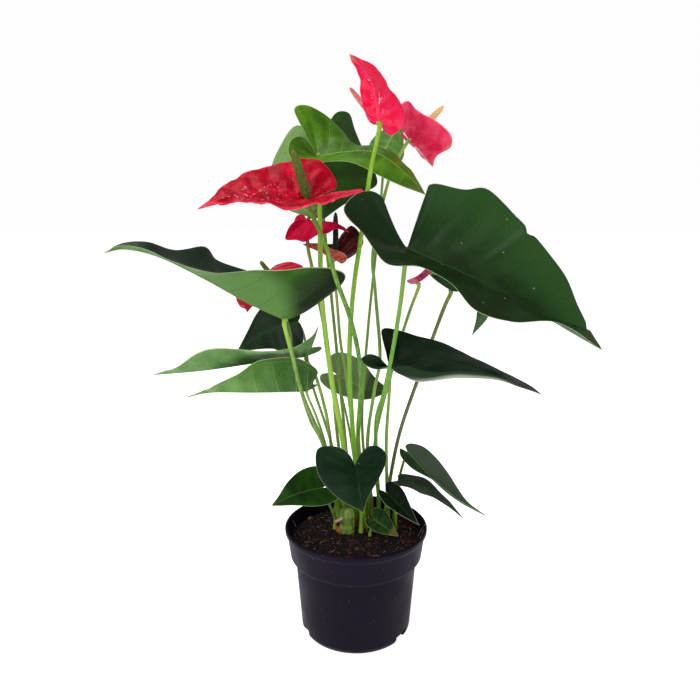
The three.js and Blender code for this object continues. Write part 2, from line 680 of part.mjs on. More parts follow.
/** The spathe, stalk and spadix of one flower. */
function flowerPieces(spec) {
  const frame = ribFrame(spec);
  const spathe = thicken(bladeSheet(spec, frame), BLADE.thickness);
  return [
    piece(`${spec.name}_spathe`, spathe, spec.colour, ROUGHNESS.spathe),
    piece(`${spec.name}_stalk`, stalkGeometry(spec, frame), COLOUR.paleStalk, ROUGHNESS.stalk),
    piece(`${spec.name}_spadix`, spadixGeometry(spec, frame), spec.spadix.colour, ROUGHNESS.spadix),
  ];
}

// ------------------------------------------------------------------------------ pot and soil
/** Radius of the pot's wall at a height, moved in from its outside by inset. */
function wallRadius(z, inset = 0) {
  const sections = [
    [POT.footHeight, POT.baseRadius, POT.neckHeight, POT.neckRadius],
    [POT.neckHeight, POT.neckRadius, POT.collarFoot, POT.collarFootRadius],
    [POT.collarFoot, POT.collarFootRadius, POT.height, POT.rimRadius - POT.rimLip / 2],
  ];
  const [z0, r0, z1, r1] = sections.find((section) => z < section[2]) ?? sections.at(-1);
  return r0 + ((r1 - r0) * (z - z0)) / (z1 - z0) - inset;
}

/** A turned solid about +Z from [radius, height] pairs that run up its outside. */
function turned(profile, segments = POT.segments) {
  const outline = profile.map(([radius, height]) => new THREE.Vector2(radius, height));
  return new THREE.LatheGeometry(outline, segments).rotateX(Math.PI / 2);
}

/** The moulded pot: tapering body, stepped collar, foot ring, corner notches and drain holes. */
function potGeometry() {
  const inner = (z) => [wallRadius(z, POT.wall), z];
  const outer = (z) => [wallRadius(z), z];
  const lip = POT.rimLip;
  const shell = turned([
    [0, 0],
    [POT.bossRadius, 0],
    [POT.bossRadius + POT.underside, POT.underside],
    [POT.footRingRadius - POT.underside, POT.underside],
    [POT.footRingRadius, 0],
    [POT.footRadius, 0],
    outer(POT.footHeight),
    outer(POT.neckHeight),
    outer(POT.collarFoot),
    outer(POT.height - 2 * lip),
    [POT.rimRadius, POT.height - lip],
    [POT.rimRadius - lip / 4, POT.height],
    [POT.rimRadius - lip, POT.height],
    inner(POT.collarFoot),
    inner(POT.neckHeight),
    inner(POT.floor + POT.wall),
    [wallRadius(POT.floor, 2 * POT.wall), POT.floor],
    [0, POT.floor],
  ]);
  let solid = toSolid(shell);
  for (const degrees of NOTCH.angles) {
    const cut = new THREE.BoxGeometry(NOTCH.depth, NOTCH.width, 2 * NOTCH.height);
    cut.translate(POT.footRadius, 0, 0).rotateZ(THREE.MathUtils.degToRad(degrees));
    solid = solid.subtract(toSolid(cut));
  }
  for (let i = 0; i < DRAIN.count; i += 1) {
    const hole = new THREE.CylinderGeometry(DRAIN.radius, DRAIN.radius, 4 * POT.floor, DRAIN.sides);
    hole.rotateX(Math.PI / 2).translate(DRAIN.ringRadius, 0, 0).rotateZ((2 * Math.PI * i) / DRAIN.count);
    solid = solid.subtract(toSolid(hole));
  }
  return fromSolid(solid);
}

/** The peat that fills the pot, level under the plant and a little lower at the wall. */
function soilGeometry() {
  const fitted = (z) => [wallRadius(z, POT.wall + GAP), z];
  const bottom = POT.floor + GAP;
  return turned([
    [0, bottom],
    [wallRadius(bottom, 2 * POT.wall + GAP), bottom],
    fitted(bottom + POT.wall),
    fitted(POT.neckHeight),
    fitted(POT.collarFoot),
    fitted(SOIL.top - SOIL.edgeDrop),
    [SOIL.flatRadius, SOIL.top],
    [0, SOIL.top],
  ]);
}

/** The thick green crown at soil level with the stub of a cut stalk. */
function crownGeometry() {
  const { x, y, height, radius, shoulderHeight, topRadius, sides } = CROWN;
  const profile = [[0, 0], [radius, 0], [radius, shoulderHeight], [topRadius, height], [0, height]];
  const stub = new THREE.CylinderGeometry(STUB.radius, STUB.radius, STUB.length, STUB.sides);
  stub.translate(0, STUB.length / 2, 0).rotateZ(THREE.MathUtils.degToRad(STUB.tilt));
  stub.translate(0, -STUB.back, STUB.up);
  return fromSolid(toSolid(turned(profile, sides)).add(toSolid(stub))).translate(x, y, SOIL.top + GAP);
}

/** A dry papery sheath left standing where an old leaf grew. */
function sheathGeometry() {
  const { x, y, height, radius, wall, opening, segments } = SHEATH;
  const arc = new THREE.Shape();
  arc.absarc(0, 0, radius, opening, 2 * Math.PI - opening, false);
  arc.absarc(0, 0, radius - wall, 2 * Math.PI - opening, opening, true);
  const options = { depth: height, bevelEnabled: false, curveSegments: segments };
  return new THREE.ExtrudeGeometry(arc, options).translate(x, y, SOIL.top + GAP);
}

// -------------------------------------------------------------------------------- assembly
const plant = new THREE.Group();
plant.name = "potted_anthurium";
plant.add(piece("pot", potGeometry(), COLOUR.pot, ROUGHNESS.pot));
plant.add(piece("soil", soilGeometry(), COLOUR.soil, ROUGHNESS.soil));
plant.add(piece("crown", crownGeometry(), COLOUR.crown, ROUGHNESS.crown));
plant.add(piece("sheath", sheathGeometry(), COLOUR.sheath, ROUGHNESS.sheath));
for (const leaf of LEAVES) plant.add(...leafPieces(leaf));
for (const flower of FLOWERS) plant.add(...flowerPieces(flower));

export default plant;
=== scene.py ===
import logging
import math
from collections.abc import Callable, Sequence
from dataclasses import dataclass, replace
from enum import Enum

import bmesh
import bpy
import numpy as np
import numpy.typing as npt
from bpy.types import Material, Mesh, Object
from mathutils import Matrix, Vector, noise


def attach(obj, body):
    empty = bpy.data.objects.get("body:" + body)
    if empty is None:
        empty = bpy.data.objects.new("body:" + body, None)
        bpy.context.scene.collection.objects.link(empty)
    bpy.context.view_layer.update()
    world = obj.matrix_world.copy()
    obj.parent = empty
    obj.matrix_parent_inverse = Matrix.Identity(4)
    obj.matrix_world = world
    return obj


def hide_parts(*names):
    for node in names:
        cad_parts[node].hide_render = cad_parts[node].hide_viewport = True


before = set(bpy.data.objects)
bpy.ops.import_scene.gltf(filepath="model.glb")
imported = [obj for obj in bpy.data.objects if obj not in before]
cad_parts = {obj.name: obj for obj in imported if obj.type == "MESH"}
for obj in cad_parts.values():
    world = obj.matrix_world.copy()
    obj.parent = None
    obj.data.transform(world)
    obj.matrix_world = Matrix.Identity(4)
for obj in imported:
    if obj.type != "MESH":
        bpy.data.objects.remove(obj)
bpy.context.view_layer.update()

LOG = logging.getLogger("anthurium")
ROOT_BODY = "root"
MM = 0.001
SEED = 11
FULL_TURN = 2 * math.pi
GOLDEN_ANGLE = math.pi * (3 - math.sqrt(5))

Array = npt.NDArray[np.float64]
Point = tuple[float, ...]
Points = tuple[Point, ...]
Faces = list[list[int]]
Socket = bpy.types.NodeSocket
Value = Socket | float | int | str | bool | Sequence[float]
Inputs = dict[str | int, Value | Material]
EVEN: Point = (1, 1, 1)


# ------------------------------------------------------------------------------ small helpers
def colour(code: str) -> tuple[float, float, float, float]:
    """Linear red, green, blue and alpha of a "#rrggbb" colour, by the sRGB curve."""
    parts = [int(code[i : i + 2], 16) / 255 for i in (1, 3, 5)]
    return *(c / 12.92 if c <= 0.04045 else ((c + 0.055) / 1.055) ** 2.4 for c in parts), 1.0


def smooth(value: Array, low: float, high: float) -> Array:
    """Rise from 0 at low to 1 at high with level ends."""
    share = np.clip((value - low) / (high - low), 0, 1)
    return share * share * (3 - 2 * share)


def new_object(name: str, data: bpy.types.ID) -> Object:
    """Put an object into the scene.

    Args:
        name: Its name.
        data: Its mesh, light or camera.

    Returns:
        The new object.
    """
    thing = bpy.data.objects.new(name, data)
    bpy.context.scene.collection.objects.link(thing)
    return thing


def mesh_from(name: str, vertices: Array, faces: Sequence[Sequence[int]]) -> Mesh:
    """Make a smooth-shaded mesh.

    Args:
        name: Name of the mesh.
        vertices: One row of three numbers a point, in mm.
        faces: Point numbers of each face, anticlockwise from outside.

    Returns:
        The new mesh.
    """
    mesh = bpy.data.meshes.new(name)
    mesh.from_pydata((vertices * MM).tolist(), [], faces)
    mesh.polygons.foreach_set("use_smooth", [True] * len(mesh.polygons))
    return mesh


def line_from(name: str, points: Array) -> Mesh:
    """Make a chain of edges through points in mm.

    Args:
        name: Name of the mesh.
        points: One row of three numbers a point.

    Returns:
        The new mesh, without faces.
    """
    mesh = bpy.data.meshes.new(name)
    mesh.from_pydata((points * MM).tolist(), [(i, i + 1) for i in range(len(points) - 1)], [])
    return mesh


def put_attribute(mesh: Mesh, name: str, values: Array) -> None:
    """Store three numbers a point on a mesh under a name."""
    layer = mesh.attributes.new(name, "FLOAT_VECTOR", "POINT")
    layer.data.foreach_set("vector", values.astype(np.float32).ravel())


def place_piece(name: str, mesh: Mesh, replaced: str = "") -> None:
    """Put a finished mesh into the scene as a piece of the plant.

    Args:
        name: Name of the piece.
        mesh: Its mesh, already where it belongs.
        replaced: The CAD node it stands for, if any.
    """
    piece = new_object(name, mesh)
    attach(piece, ROOT_BODY)
    if replaced:
        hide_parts(replaced)
    LOG.info("%s: %d faces", name, len(mesh.polygons))


def joined(name: str, meshes: Sequence[Mesh]) -> Mesh:
    """Join several meshes, with their materials and attributes, into one.

    Args:
        name: Name of the new mesh.
        meshes: The meshes to join, at least one.

    Returns:
        The joined mesh.
    """
    parts = [new_object(f"{name}_part", mesh) for mesh in meshes]
    first = parts[0]
    with bpy.context.temp_override(
        active_object=first, object=first, selected_editable_objects=parts
    ):
        bpy.ops.object.join()
    mesh = first.data
    bpy.data.objects.remove(first)
    mesh.name = name
    return mesh


def band(low: int, high: int, count: int) -> Faces:
    """Faces between two rings of count points, from the numbers of their first points."""
    steps = [(i, (i + 1) % count) for i in range(count)]
    return [[low + i, high + i, high + j, low + j] for i, j in steps]


def sheet_faces(ids: npt.NDArray[np.int64]) -> Faces:
    """Faces of a sheet of points.

    Args:
        ids: Point numbers in rows and columns; a number may stand in several places.

    Returns:
        The faces, without those that have fewer than three corners.
    """
    faces = []
    for i in range(ids.shape[0] - 1):
        for j in range(ids.shape[1] - 1):
            corners = [ids[i, j], ids[i, j + 1], ids[i + 1, j + 1], ids[i + 1, j]]
            corners = list(dict.fromkeys(int(corner) for corner in corners))
            if len(corners) > 2:
                faces.append(corners)
    return faces


def shell_faces(faces: Faces, count: int) -> tuple[Faces, Faces]:
    """Faces of a closed shell between a sheet and its copy.

    Args:
        faces: Faces of the sheet.
        count: How many points on the copy's points are.

    Returns:
        The faces of the sheet and its turned copy, and those that close the edge between them.
    """
    copy = [[corner + count for corner in reversed(face)] for face in faces]
    edges = {(a, b) for face in faces for a, b in zip(face, [*face[1:], face[0]])}
    rim = [[b, a, a + count, b + count] for a, b in sorted(edges) if (b, a) not in edges]
    return faces + copy, rim


def lathe(name: str, profile: Points, segments: int) -> Mesh:
    """Turn a profile about +Z.

    Args:
        name: Name of the mesh.
        profile: (radius, height) pairs in mm that run up the outside, from axis to axis.
        segments: Facets round the axis.

    Returns:
        The turned mesh, with one point where the profile meets the axis.
    """
    angles = np.arange(segments) * 2 * math.pi / segments
    vertices: list[list[float]] = []
    rings: Faces = []
    for radius, height in profile:
        first = len(vertices)
        if radius == 0:
            vertices.append([0, 0, height])
            rings.append([first] * (segments + 1))
            continue
        vertices += [[radius * math.cos(a), radius * math.sin(a), height] for a in angles]
        rings.append([*range(first, first + segments), first])
    return mesh_from(name, np.array(vertices, float), sheet_faces(np.array(rings)))


# -------------------------------------------------------------------------------- node trees
class NodeTree:
    """Adds and wires nodes of a shader or geometry tree in few words."""

    def __init__(self, tree: bpy.types.NodeTree) -> None:
        """Start on an existing tree."""
        self.tree = tree

    def plug(self, value: Value | Material, socket: Socket) -> None:
        """Wire a socket into an input, or set the input to a plain value.

        Args:
            value: The socket or value.
            socket: The input.
        """
        if isinstance(value, bpy.types.NodeSocket):
            self.tree.links.new(value, socket)
        else:
            socket.default_value = value

    def add(self, kind: str, inputs: Inputs | None = None, **settings: Value) -> bpy.types.Node:
        """Add a node.

        Args:
            kind: Blender's type name of the node.
            inputs: Values or sockets for its inputs, by name or number.
            settings: The node's own properties.

        Returns:
            The new node.
        """
        node = self.tree.nodes.new(kind)
        for name, value in settings.items():
            setattr(node, name, value)
        for key, value in (inputs or {}).items():
            self.plug(value, node.inputs[key])
        return node

    def out(self, kind: str, inputs: Inputs | None = None, **settings: Value) -> Socket:
        """Add a node as add does, for its first output."""
        return self.add(kind, inputs, **settings).outputs[0]

    def math(self, operation: str, *values: Value) -> Socket:
        """Result of a Math node on up to three values."""
        return self.out("ShaderNodeMath", dict(enumerate(values)), operation=operation)

    def times(self, first: Value, second: Value) -> Socket:
        """Product of two values."""
        return self.math("MULTIPLY", first, second)

    def less(self, first: Value, second: Value) -> Socket:
        """The first value less the second."""
        return self.math("SUBTRACT", first, second)

    def vector(self, *parts: Value) -> Socket:
        """A vector of three values."""
        return self.out("ShaderNodeCombineXYZ", dict(enumerate(parts)))

    def split(self, vector: Socket) -> tuple[Socket, Socket, Socket]:
        """The three values of a vector."""
        parts = self.add("ShaderNodeSeparateXYZ", {0: vector}).outputs
        return parts[0], parts[1], parts[2]

    def fade(
        self, value: Value, start: Value, end: Value, low: Value = 1.0, high: Value = 0.0
    ) -> Socket:
        """Go smoothly from low where the value is start to high where it is end."""
        inputs = {"Value": value, "From Min": start, "From Max": end, "To Min": low, "To Max": high}
        return self.out("ShaderNodeMapRange", inputs, interpolation_type="SMOOTHSTEP")


class Shader(NodeTree):
    """Builds one node material a step at a time."""

    def __init__(self, name: str) -> None:
        """Start an empty material.

        Args:
            name: Its name.
        """
        self.material = bpy.data.materials.new(name)
        self.material.use_nodes = True
        super().__init__(self.material.node_tree)
        self.tree.nodes.clear()
        self.place = self.add("ShaderNodeTexCoord").outputs["Object"]

    def attribute(self, name: str, output: str = "Fac") -> Socket:
        """A number of the piece, or with the output Vector three numbers."""
        return self.add("ShaderNodeAttribute", attribute_name=name).outputs[output]

    def mix(self, share: Value, first: Value, second: Value) -> Socket:
        """Mix two colours.

        Args:
            share: Share of the second, from 0 to 1.
            first: First colour; a text value is a "#rrggbb" colour.
            second: Second colour.

        Returns:
            The mixed colour.
        """
        node = self.add("ShaderNodeMix", data_type="RGBA")
        for value, key in ((share, 0), (first, 6), (second, 7)):
            self.plug(colour(value) if isinstance(value, str) else value, node.inputs[key])
        return node.outputs[2]

    def noise(self, feature: float, detail: float = 3, stretch: Point = EVEN) -> Socket:
        """Noise from 0 to 1.

        Args:
            feature: Size of a lump in mm.
            detail: Octaves of finer noise.
            stretch: Scale of the pattern along X, Y and Z.

        Returns:
            The noise.
        """
        place = self.out("ShaderNodeMapping", {"Vector": self.place, "Scale": stretch})
        inputs = {"Vector": place, "Scale": 1 / (feature * MM), "Detail": detail}
        return self.out("ShaderNodeTexNoise", inputs)

    def patches(
        self,
        feature: float,
        detail: float,
        low: float,
        high: float,
        full: float = 1.0,
        stretch: Point = EVEN,
    ) -> Socket:
        """Noise cut into soft patches: 0 up to the level low, and full from the level high."""
        return self.fade(self.noise(feature, detail, stretch), low, high, 0, full)

    def cells(self, feature: float, kind: str = "F1") -> Socket:
        """Distance pattern of Voronoi cells about feature millimetres across."""
        inputs = {"Vector": self.place, "Scale": 1 / (feature * MM)}
        return self.add("ShaderNodeTexVoronoi", inputs, feature=kind).outputs["Distance"]

    def dots(self, feature: float, core: float, rim: float, full: float) -> Socket:
        """Dots feature mm apart, full up to core and gone at rim, as shares of feature."""
        return self.fade(self.cells(feature), core, rim, full, 0)

    def bump(self, height: Value, depth: float, under: Socket | None = None) -> Socket:
        """Normal of a raised surface.

        Args:
            height: Height of the relief, as a share of the depth.
            depth: Depth of the relief in mm.
            under: Normal of the coarser relief that it lies on, if any.

        Returns:
            The normal.
        """
        inputs: Inputs = {"Height": height, "Strength": 1.0, "Distance": depth * MM}
        if under is not None:
            inputs["Normal"] = under
        return self.out("ShaderNodeBump", inputs)

    def finish(
        self,
        base: Value,
        roughness: Value,
        normal: Socket,
        glow: tuple[float, Value] | None = None,
        **extra: Value,
    ) -> Material:
        """End the material with its surface shader.

        Args:
            base: Base colour.
            roughness: Roughness from 0 to 1.
            normal: Bumped normal.
            glow: Share and colour of the light that passes through, if any.
            extra: Other Principled inputs, with _ for a space.

        Returns:
            The finished material.
        """
        inputs: Inputs = {"Base Color": base, "Roughness": roughness, "Normal": normal}
        inputs |= {key.replace("_", " "): value for key, value in extra.items()}
        surface = self.out("ShaderNodeBsdfPrincipled", inputs)
        if glow is not None:
            through = self.out("ShaderNodeBsdfTranslucent", {"Color": glow[1]})
            inputs = {0: glow[0], 1: surface, 2: through}
            surface = self.out("ShaderNodeMixShader", inputs)
        self.add("ShaderNodeOutputMaterial", {"Surface": surface})
        return self.material


class Grower(NodeTree):
    """A Geometry Nodes tree with named inputs that grows a plain mesh."""

    KINDS = {"Geometry": "Geometry", "Material": "Material"} | dict.fromkeys(
        ("Count", "Seed", "Sides"), "Int"
    )

    def __init__(self, name: str, *inputs: str) -> None:
        """Start a tree.

        Args:
            name: Name of the tree.
            inputs: Names of its inputs beside the geometry; a plain name is a number.
        """
        super().__init__(bpy.data.node_groups.new(name, "GeometryNodeTree"))
        face = self.tree.interface
        face.new_socket("Geometry", in_out="OUTPUT", socket_type="NodeSocketGeometry")
        for label in ("Geometry", *inputs):
            kind = "NodeSocket" + self.KINDS.get(label, "Float")
            face.new_socket(label, in_out="INPUT", socket_type=kind)
        self.given = self.add("NodeGroupInput").outputs

    def geo(self, kind: str, inputs: Inputs | None = None, **settings: Value) -> Socket:
        """Add a geometry node by the end of its type name, for its first output."""
        return self.out(f"GeometryNode{kind}", inputs, **settings)

    def close(self, geometry: Socket) -> None:
        """End the tree: instances made real, smooth faces and the material.

        Args:
            geometry: What the tree gives back.
        """
        real = self.geo("RealizeInstances", {0: geometry})
        shaded = self.geo("SetShadeSmooth", {0: real})
        inputs = {"Geometry": shaded, "Material": self.given["Material"]}
        self.add("NodeGroupOutput", {0: self.geo("SetMaterial", inputs)})

    def store(self, geometry: Socket, name: str, value: Value) -> Socket:
        """Store a number on the geometry's points under a name and pass the geometry on."""
        inputs = {"Geometry": geometry, "Name": name, "Value": value}
        return self.geo("StoreNamedAttribute", inputs)

    def tube(self, curve: Socket, sides: Value, radius: Value) -> Socket:
        """A closed tube along a curve.

        Args:
            curve: The curve.
            sides: Facets round it.
            radius: Its radius in metres.

        Returns:
            The tube's mesh.
        """
        inputs: Inputs = {"Resolution": sides, "Radius": 1.0}
        ring = self.geo("CurvePrimitiveCircle", inputs)
        inputs = {"Curve": curve, "Profile Curve": ring, "Scale": radius, "Fill Caps": True}
        return self.geo("CurveToMesh", inputs)

    def random(self, low: Value, high: Value, step: int) -> Socket:
        """A random number or vector for each element.

        Args:
            low: Lowest value, or lowest corner of a vector.
            high: Highest value or corner.
            step: What is added to the seed, so that each draw is its own.

        Returns:
            The random values.
        """
        flat = not isinstance(low, tuple)
        seed = self.math("ADD", self.given["Seed"], step)
        kind = "FLOAT" if flat else "FLOAT_VECTOR"
        inputs: Inputs = {"Seed": seed, 2 * flat: low, 2 * flat + 1: high}
        return self.add("FunctionNodeRandomValue", inputs, data_type=kind).outputs[int(flat)]

    def scatter(self, shape: Socket, spin: Socket, scale: Socket) -> Socket:
        """Strew a shape over the faces of the geometry that comes in.

        Args:
            shape: The shape.
            spin: Its turn about X, Y and Z.
            scale: Its scale.

        Returns:
            The instances, each with a random tone from 0 to 1.
        """
        given = self.given
        inputs = {"Mesh": given["Geometry"], "Density": given["Density"], "Seed": given["Seed"]}
        points = self.geo("DistributePointsOnFaces", inputs)
        points = self.store(points, "tone", self.random(0.0, 1.0, 1))
        inputs = {"Points": points, "Instance": shape, "Rotation": spin, "Scale": scale}
        return self.geo("InstanceOnPoints", inputs)

    def grow(self, name: str, base: Mesh, **values: float | Material) -> Mesh:
        """Run the tree on a mesh.

        Args:
            name: Name of the result.
            base: The mesh that goes in.
            values: The tree's inputs by name, with _ for a space.

        Returns:
            A new plain mesh.
        """
        holder = new_object(f"{name}_holder", base)
        modifier = holder.modifiers.new(self.tree.name, "NODES")
        modifier.node_group = self.tree
        keys = {item.name: item.identifier for item in self.tree.interface.items_tree}
        for label, value in values.items():
            modifier[keys[label.replace("_", " ")]] = value
        graph = bpy.context.evaluated_depsgraph_get()
        result = bpy.data.meshes.new_from_object(
            holder.evaluated_get(graph), preserve_all_data_layers=True, depsgraph=graph
        )
        result.name = name
        holder.modifiers.remove(modifier)
        bpy.data.objects.remove(holder)
        return result


# ---------------------------------------------------------------------------------- finishes
@dataclass(frozen=True)
class Finish:
    """A procedural surface."""

    name: str

    def material(self) -> Material:
        """The node material, made on first use."""
        return bpy.data.materials.get(self.name) or self.paint(Shader(self.name))

    def paint(self, shader: Shader) -> Material:
        """Build the surface's nodes."""
        raise NotImplementedError


class LaminaMaps:
    """Where a point of a blade is, read from the blade's own attributes."""

    def __init__(self, shader: Shader) -> None:
        """Read the maps: turn counts veins, out, along and side are shares, the rest is in mm.

        Args:
            shader: The shader that is built.
        """
        self.turn, self.out, self.spacing = shader.split(shader.attribute("vein_map", "Vector"))
        self.reach, self.along, self.side = shader.split(shader.attribute("blade_map", "Vector"))
        self.from_rib = shader.times(self.out, self.reach)
        self.from_edge = shader.less(self.reach, self.from_rib)


Area = Callable[[Shader, LaminaMaps], Socket]


@dataclass(frozen=True)
class LaminaFinish(Finish):
    """The skin of a leaf or spathe face, patterned by its own veins.

    Widths and sizes are in mm; shares and strengths go from 0 to 1. Starts and ends are shares
    of the way along, but those of the painted lobe shade and the painted lit patch count veins.
    A mark without a colour is left out, and a side is -1 for left, 1 for right or 0 for both.
    Painted light and shade: the half-blade mark and the slanting-line patch paint light, the
    streaks paint highlights, the lobe mark paints shade, and the hem paints light on leaves.
    """

    deep: str
    light: str
    vein: str
    edge: str
    tip: str
    vein_strength: float = 0.35
    vein_width: float = 0.8
    rim_vein: float = 4.0
    web_size: float = 3.2
    rib_strength: float = 0.6
    rib_width: float = 1.7
    rib_taper: float = 1.1
    edge_width: float = 0.7
    edge_strength: float = 0.7
    tip_start: float = 0.93
    # Painted light: a lighter colour laid over one half of the blade, growing towards its margin.
    lit_half: str = ""
    lit_half_side: int = -1
    lit_half_start: float = 0.0
    lit_half_full: float = 0.15
    lit_half_share: float = 0.85
    heel: str = ""
    heel_end: float = 0.4
    # A strip along one margin: painted light on the leaves that use it, the near flap's own colour
    # on a spathe.
    hem: str = ""
    hem_side: int = 1
    hem_width: float = 2.0
    # Painted shade: a dark colour laid over the basal lobes.
    lobe: str = ""
    lobe_shade_start: float = 2.0
    lobe_shade_end: float = 4.5
    # Painted light: a lighter patch beyond a slanting line, a lit zone or a sheen.
    lit_patch: str = ""
    lit_patch_side: int = 0
    lit_patch_start: float = 3.0
    lit_patch_slope: float = 3.3
    lit_patch_blur: float = 0.7
    # Painted highlights: pale streaks near the midrib.
    streak: str = ""
    highlight_reach: float = 0.4
    speck: str = "#dfe6d8"
    specks: float = 0.0
    mottle: float = 22.0
    roughness: float = 0.36
    shine: float = 0.3
    gloss: float = 0.05
    raised: float = -0.25
    grain: float = 0.06
    glow: float = 0.12

    def paint(self, shader: Shader) -> Material:
        """Build the skin: its ground, marks in it, veins, marks on it and relief.

        Args:
            shader: The shader to build on.

        Returns:
            The finished material.
        """
        maps = LaminaMaps(shader)
        wander = shader.times(shader.less(shader.noise(9), 0.5), 0.16)
        nearest = shader.math("PINGPONG", shader.math("ADD", maps.turn, wander), 0.5)
        net = self.net(shader, maps, nearest)
        rib_width = shader.math("MULTIPLY_ADD", maps.along, -self.rib_taper, self.rib_width)
        rib = shader.fade(maps.from_rib, 0, rib_width)
        share = shader.less(shader.patches(self.mottle, 4, 0.3, 0.72), shader.times(nearest, 0.7))
        skin = shader.mix(share, self.deep, self.light)
        # Marks in the skin: the half-blade and slanting-line marks are painted light, the lobe mark
        # is painted shade, the hem is painted light on leaves.
        marks: list[tuple[str, Area]] = [
            (self.heel, self.heel_area), (self.lit_half, self.lit_half_area), (self.lobe, self.lobe_shade_area),
            (self.hem, self.hem_area), (self.lit_patch, self.lit_patch_area),
        ]
        skin = self.marked(shader, maps, skin, marks)
        skin = shader.mix(shader.times(net, self.vein_strength), skin, self.vein)
        skin = shader.mix(shader.times(rib, self.rib_strength), skin, self.vein)
        # Marks on the skin: the streaks are painted highlights; tip, edge and specks are the
        # blade's own colour.
        marks = [
            (self.tip, self.tip_area), (self.edge, self.edge_area),
            (self.streak, self.highlight_area), (self.speck if self.specks else "", self.speck_area),
        ]
        skin = self.marked(shader, maps, skin, marks)
        lift = shader.math("MULTIPLY_ADD", shader.math("MAXIMUM", net, rib), self.raised, 0)
        normal = shader.bump(shader.noise(2.4, 4), self.grain, shader.bump(lift, 1.0))
        cloud = shader.math("MULTIPLY_ADD", shader.noise(13, 3), 0.22, self.roughness - 0.11)
        return shader.finish(
            skin, cloud, normal, (self.glow, shader.mix(0.55, skin, self.light)),
            Specular_IOR_Level=self.shine, Coat_Weight=self.gloss, Coat_Roughness=0.2,
        )

    def marked(
        self, shader: Shader, maps: LaminaMaps, skin: Socket, marks: list[tuple[str, Area]]
    ) -> Socket:
        """Lay marks over the skin.

        Args:
            shader: The shader that is built.
            maps: Maps of the blade.
            skin: Colour of the skin so far.
            marks: Colour and area of each mark, in order.

        Returns:
            Colour of the marked skin.
        """
        for tone, area in marks:
            if tone:
                skin = shader.mix(area(shader, maps), skin, tone)
        return skin

    def net(self, shader: Shader, maps: LaminaMaps, nearest: Socket) -> Socket:
        """The side veins, the vein along the margin and the fine web between them.

        Args:
            shader: The shader that is built.
            maps: Maps of the blade.
            nearest: Distance to the nearest side vein, in spacings.

        Returns:
            The net, from 0 between the veins to 1 on them.
        """
        from_vein = shader.times(nearest, maps.spacing)
        width = shader.math("MULTIPLY_ADD", maps.out, -0.65 * self.vein_width, self.vein_width)
        inside = shader.fade(maps.from_edge, 1.5, 5.0, 0, 1)
        vein = shader.times(shader.fade(from_vein, 0, width), inside)
        off_rim = shader.math("ABSOLUTE", shader.less(maps.from_edge, self.rim_vein))
        rim = shader.times(shader.fade(off_rim, 0, 0.6), 0.5)
        web = shader.fade(shader.cells(self.web_size, "DISTANCE_TO_EDGE"), 0, 0.09, 0.28, 0)
        return shader.math("MAXIMUM", shader.math("MAXIMUM", vein, rim), web)

    def half(self, shader: Shader, maps: LaminaMaps, side: int) -> Socket:
        """One half of the blade, softly ended at the midrib."""
        return shader.fade(shader.times(maps.side, side), 0, 0.1, 0, 1)

    def heel_area(self, shader: Shader, maps: LaminaMaps) -> Socket:
        """The end at the stalk."""
        return shader.fade(maps.along, 0, self.heel_end, 0.9, 0)

    def lit_half_area(self, shader: Shader, maps: LaminaMaps) -> Socket:
        """Painted light on one half, more and more towards its margin."""
        half = shader.times(maps.side, self.lit_half_side)
        return shader.fade(half, self.lit_half_start, self.lit_half_full, 0, self.lit_half_share)

    def lobe_shade_area(self, shader: Shader, maps: LaminaMaps) -> Socket:
        """Painted shade on the basal lobes, off the midrib."""
        share = shader.fade(maps.turn, self.lobe_shade_start, self.lobe_shade_end)
        return shader.times(share, shader.fade(maps.out, 0.1, 0.45, 0, 1))

    def hem_area(self, shader: Shader, maps: LaminaMaps) -> Socket:
        """A strip along one margin; on leaves it is painted light, a lit strip or sheen, and on a
        spathe the colour of its near flap.
        """
        strip = shader.fade(maps.from_edge, 0.8 * self.hem_width, self.hem_width)
        return shader.times(strip, self.half(shader, maps, self.hem_side))

    def lit_patch_area(self, shader: Shader, maps: LaminaMaps) -> Socket:
        """Painted light on what lies beyond a slanting line, on one side or both.

        Args:
            shader: The shader that is built.
            maps: Maps of the blade.

        Returns:
            The area, from 0 to its share.
        """
        share = shader.math("MULTIPLY_ADD", maps.out, -self.lit_patch_slope, maps.turn)
        blur = self.lit_patch_blur
        share = shader.fade(share, self.lit_patch_start - blur, self.lit_patch_start + blur, 0, 0.9)
        if self.lit_patch_side:
            share = shader.times(share, self.half(shader, maps, self.lit_patch_side))
        return share

    def tip_area(self, shader: Shader, maps: LaminaMaps) -> Socket:
        """The tip."""
        return shader.fade(maps.along, self.tip_start - 0.06, self.tip_start + 0.05, 0, 0.9)

    def edge_area(self, shader: Shader, maps: LaminaMaps) -> Socket:
        """The thin rolled edge."""
        return shader.times(shader.fade(maps.from_edge, 0.1, self.edge_width), self.edge_strength)

    def highlight_area(self, shader: Shader, maps: LaminaMaps) -> Socket:
        """Painted highlights: thin light streaks near the middle of the midrib.

        Args:
            shader: The shader that is built.
            maps: Maps of the blade.

        Returns:
            The area, from 0 to its share.
        """
        thin = shader.patches(3.4, 2, 0.6, 0.68, 0.85, (1.3, 1.3, 0.6))
        near = shader.fade(maps.out, 0.6 * self.highlight_reach, self.highlight_reach)
        middle = shader.math("PINGPONG", shader.math("ADD", maps.along, 0.5), 1.0)
        middle = shader.fade(middle, 0.6, 0.8, 0, 1)
        return shader.times(thin, shader.times(near, middle))

    def speck_area(self, shader: Shader, maps: LaminaMaps) -> Socket:
        """Small specks of dust and lime."""
        return shader.dots(11, 0.03, 0.055, self.specks)


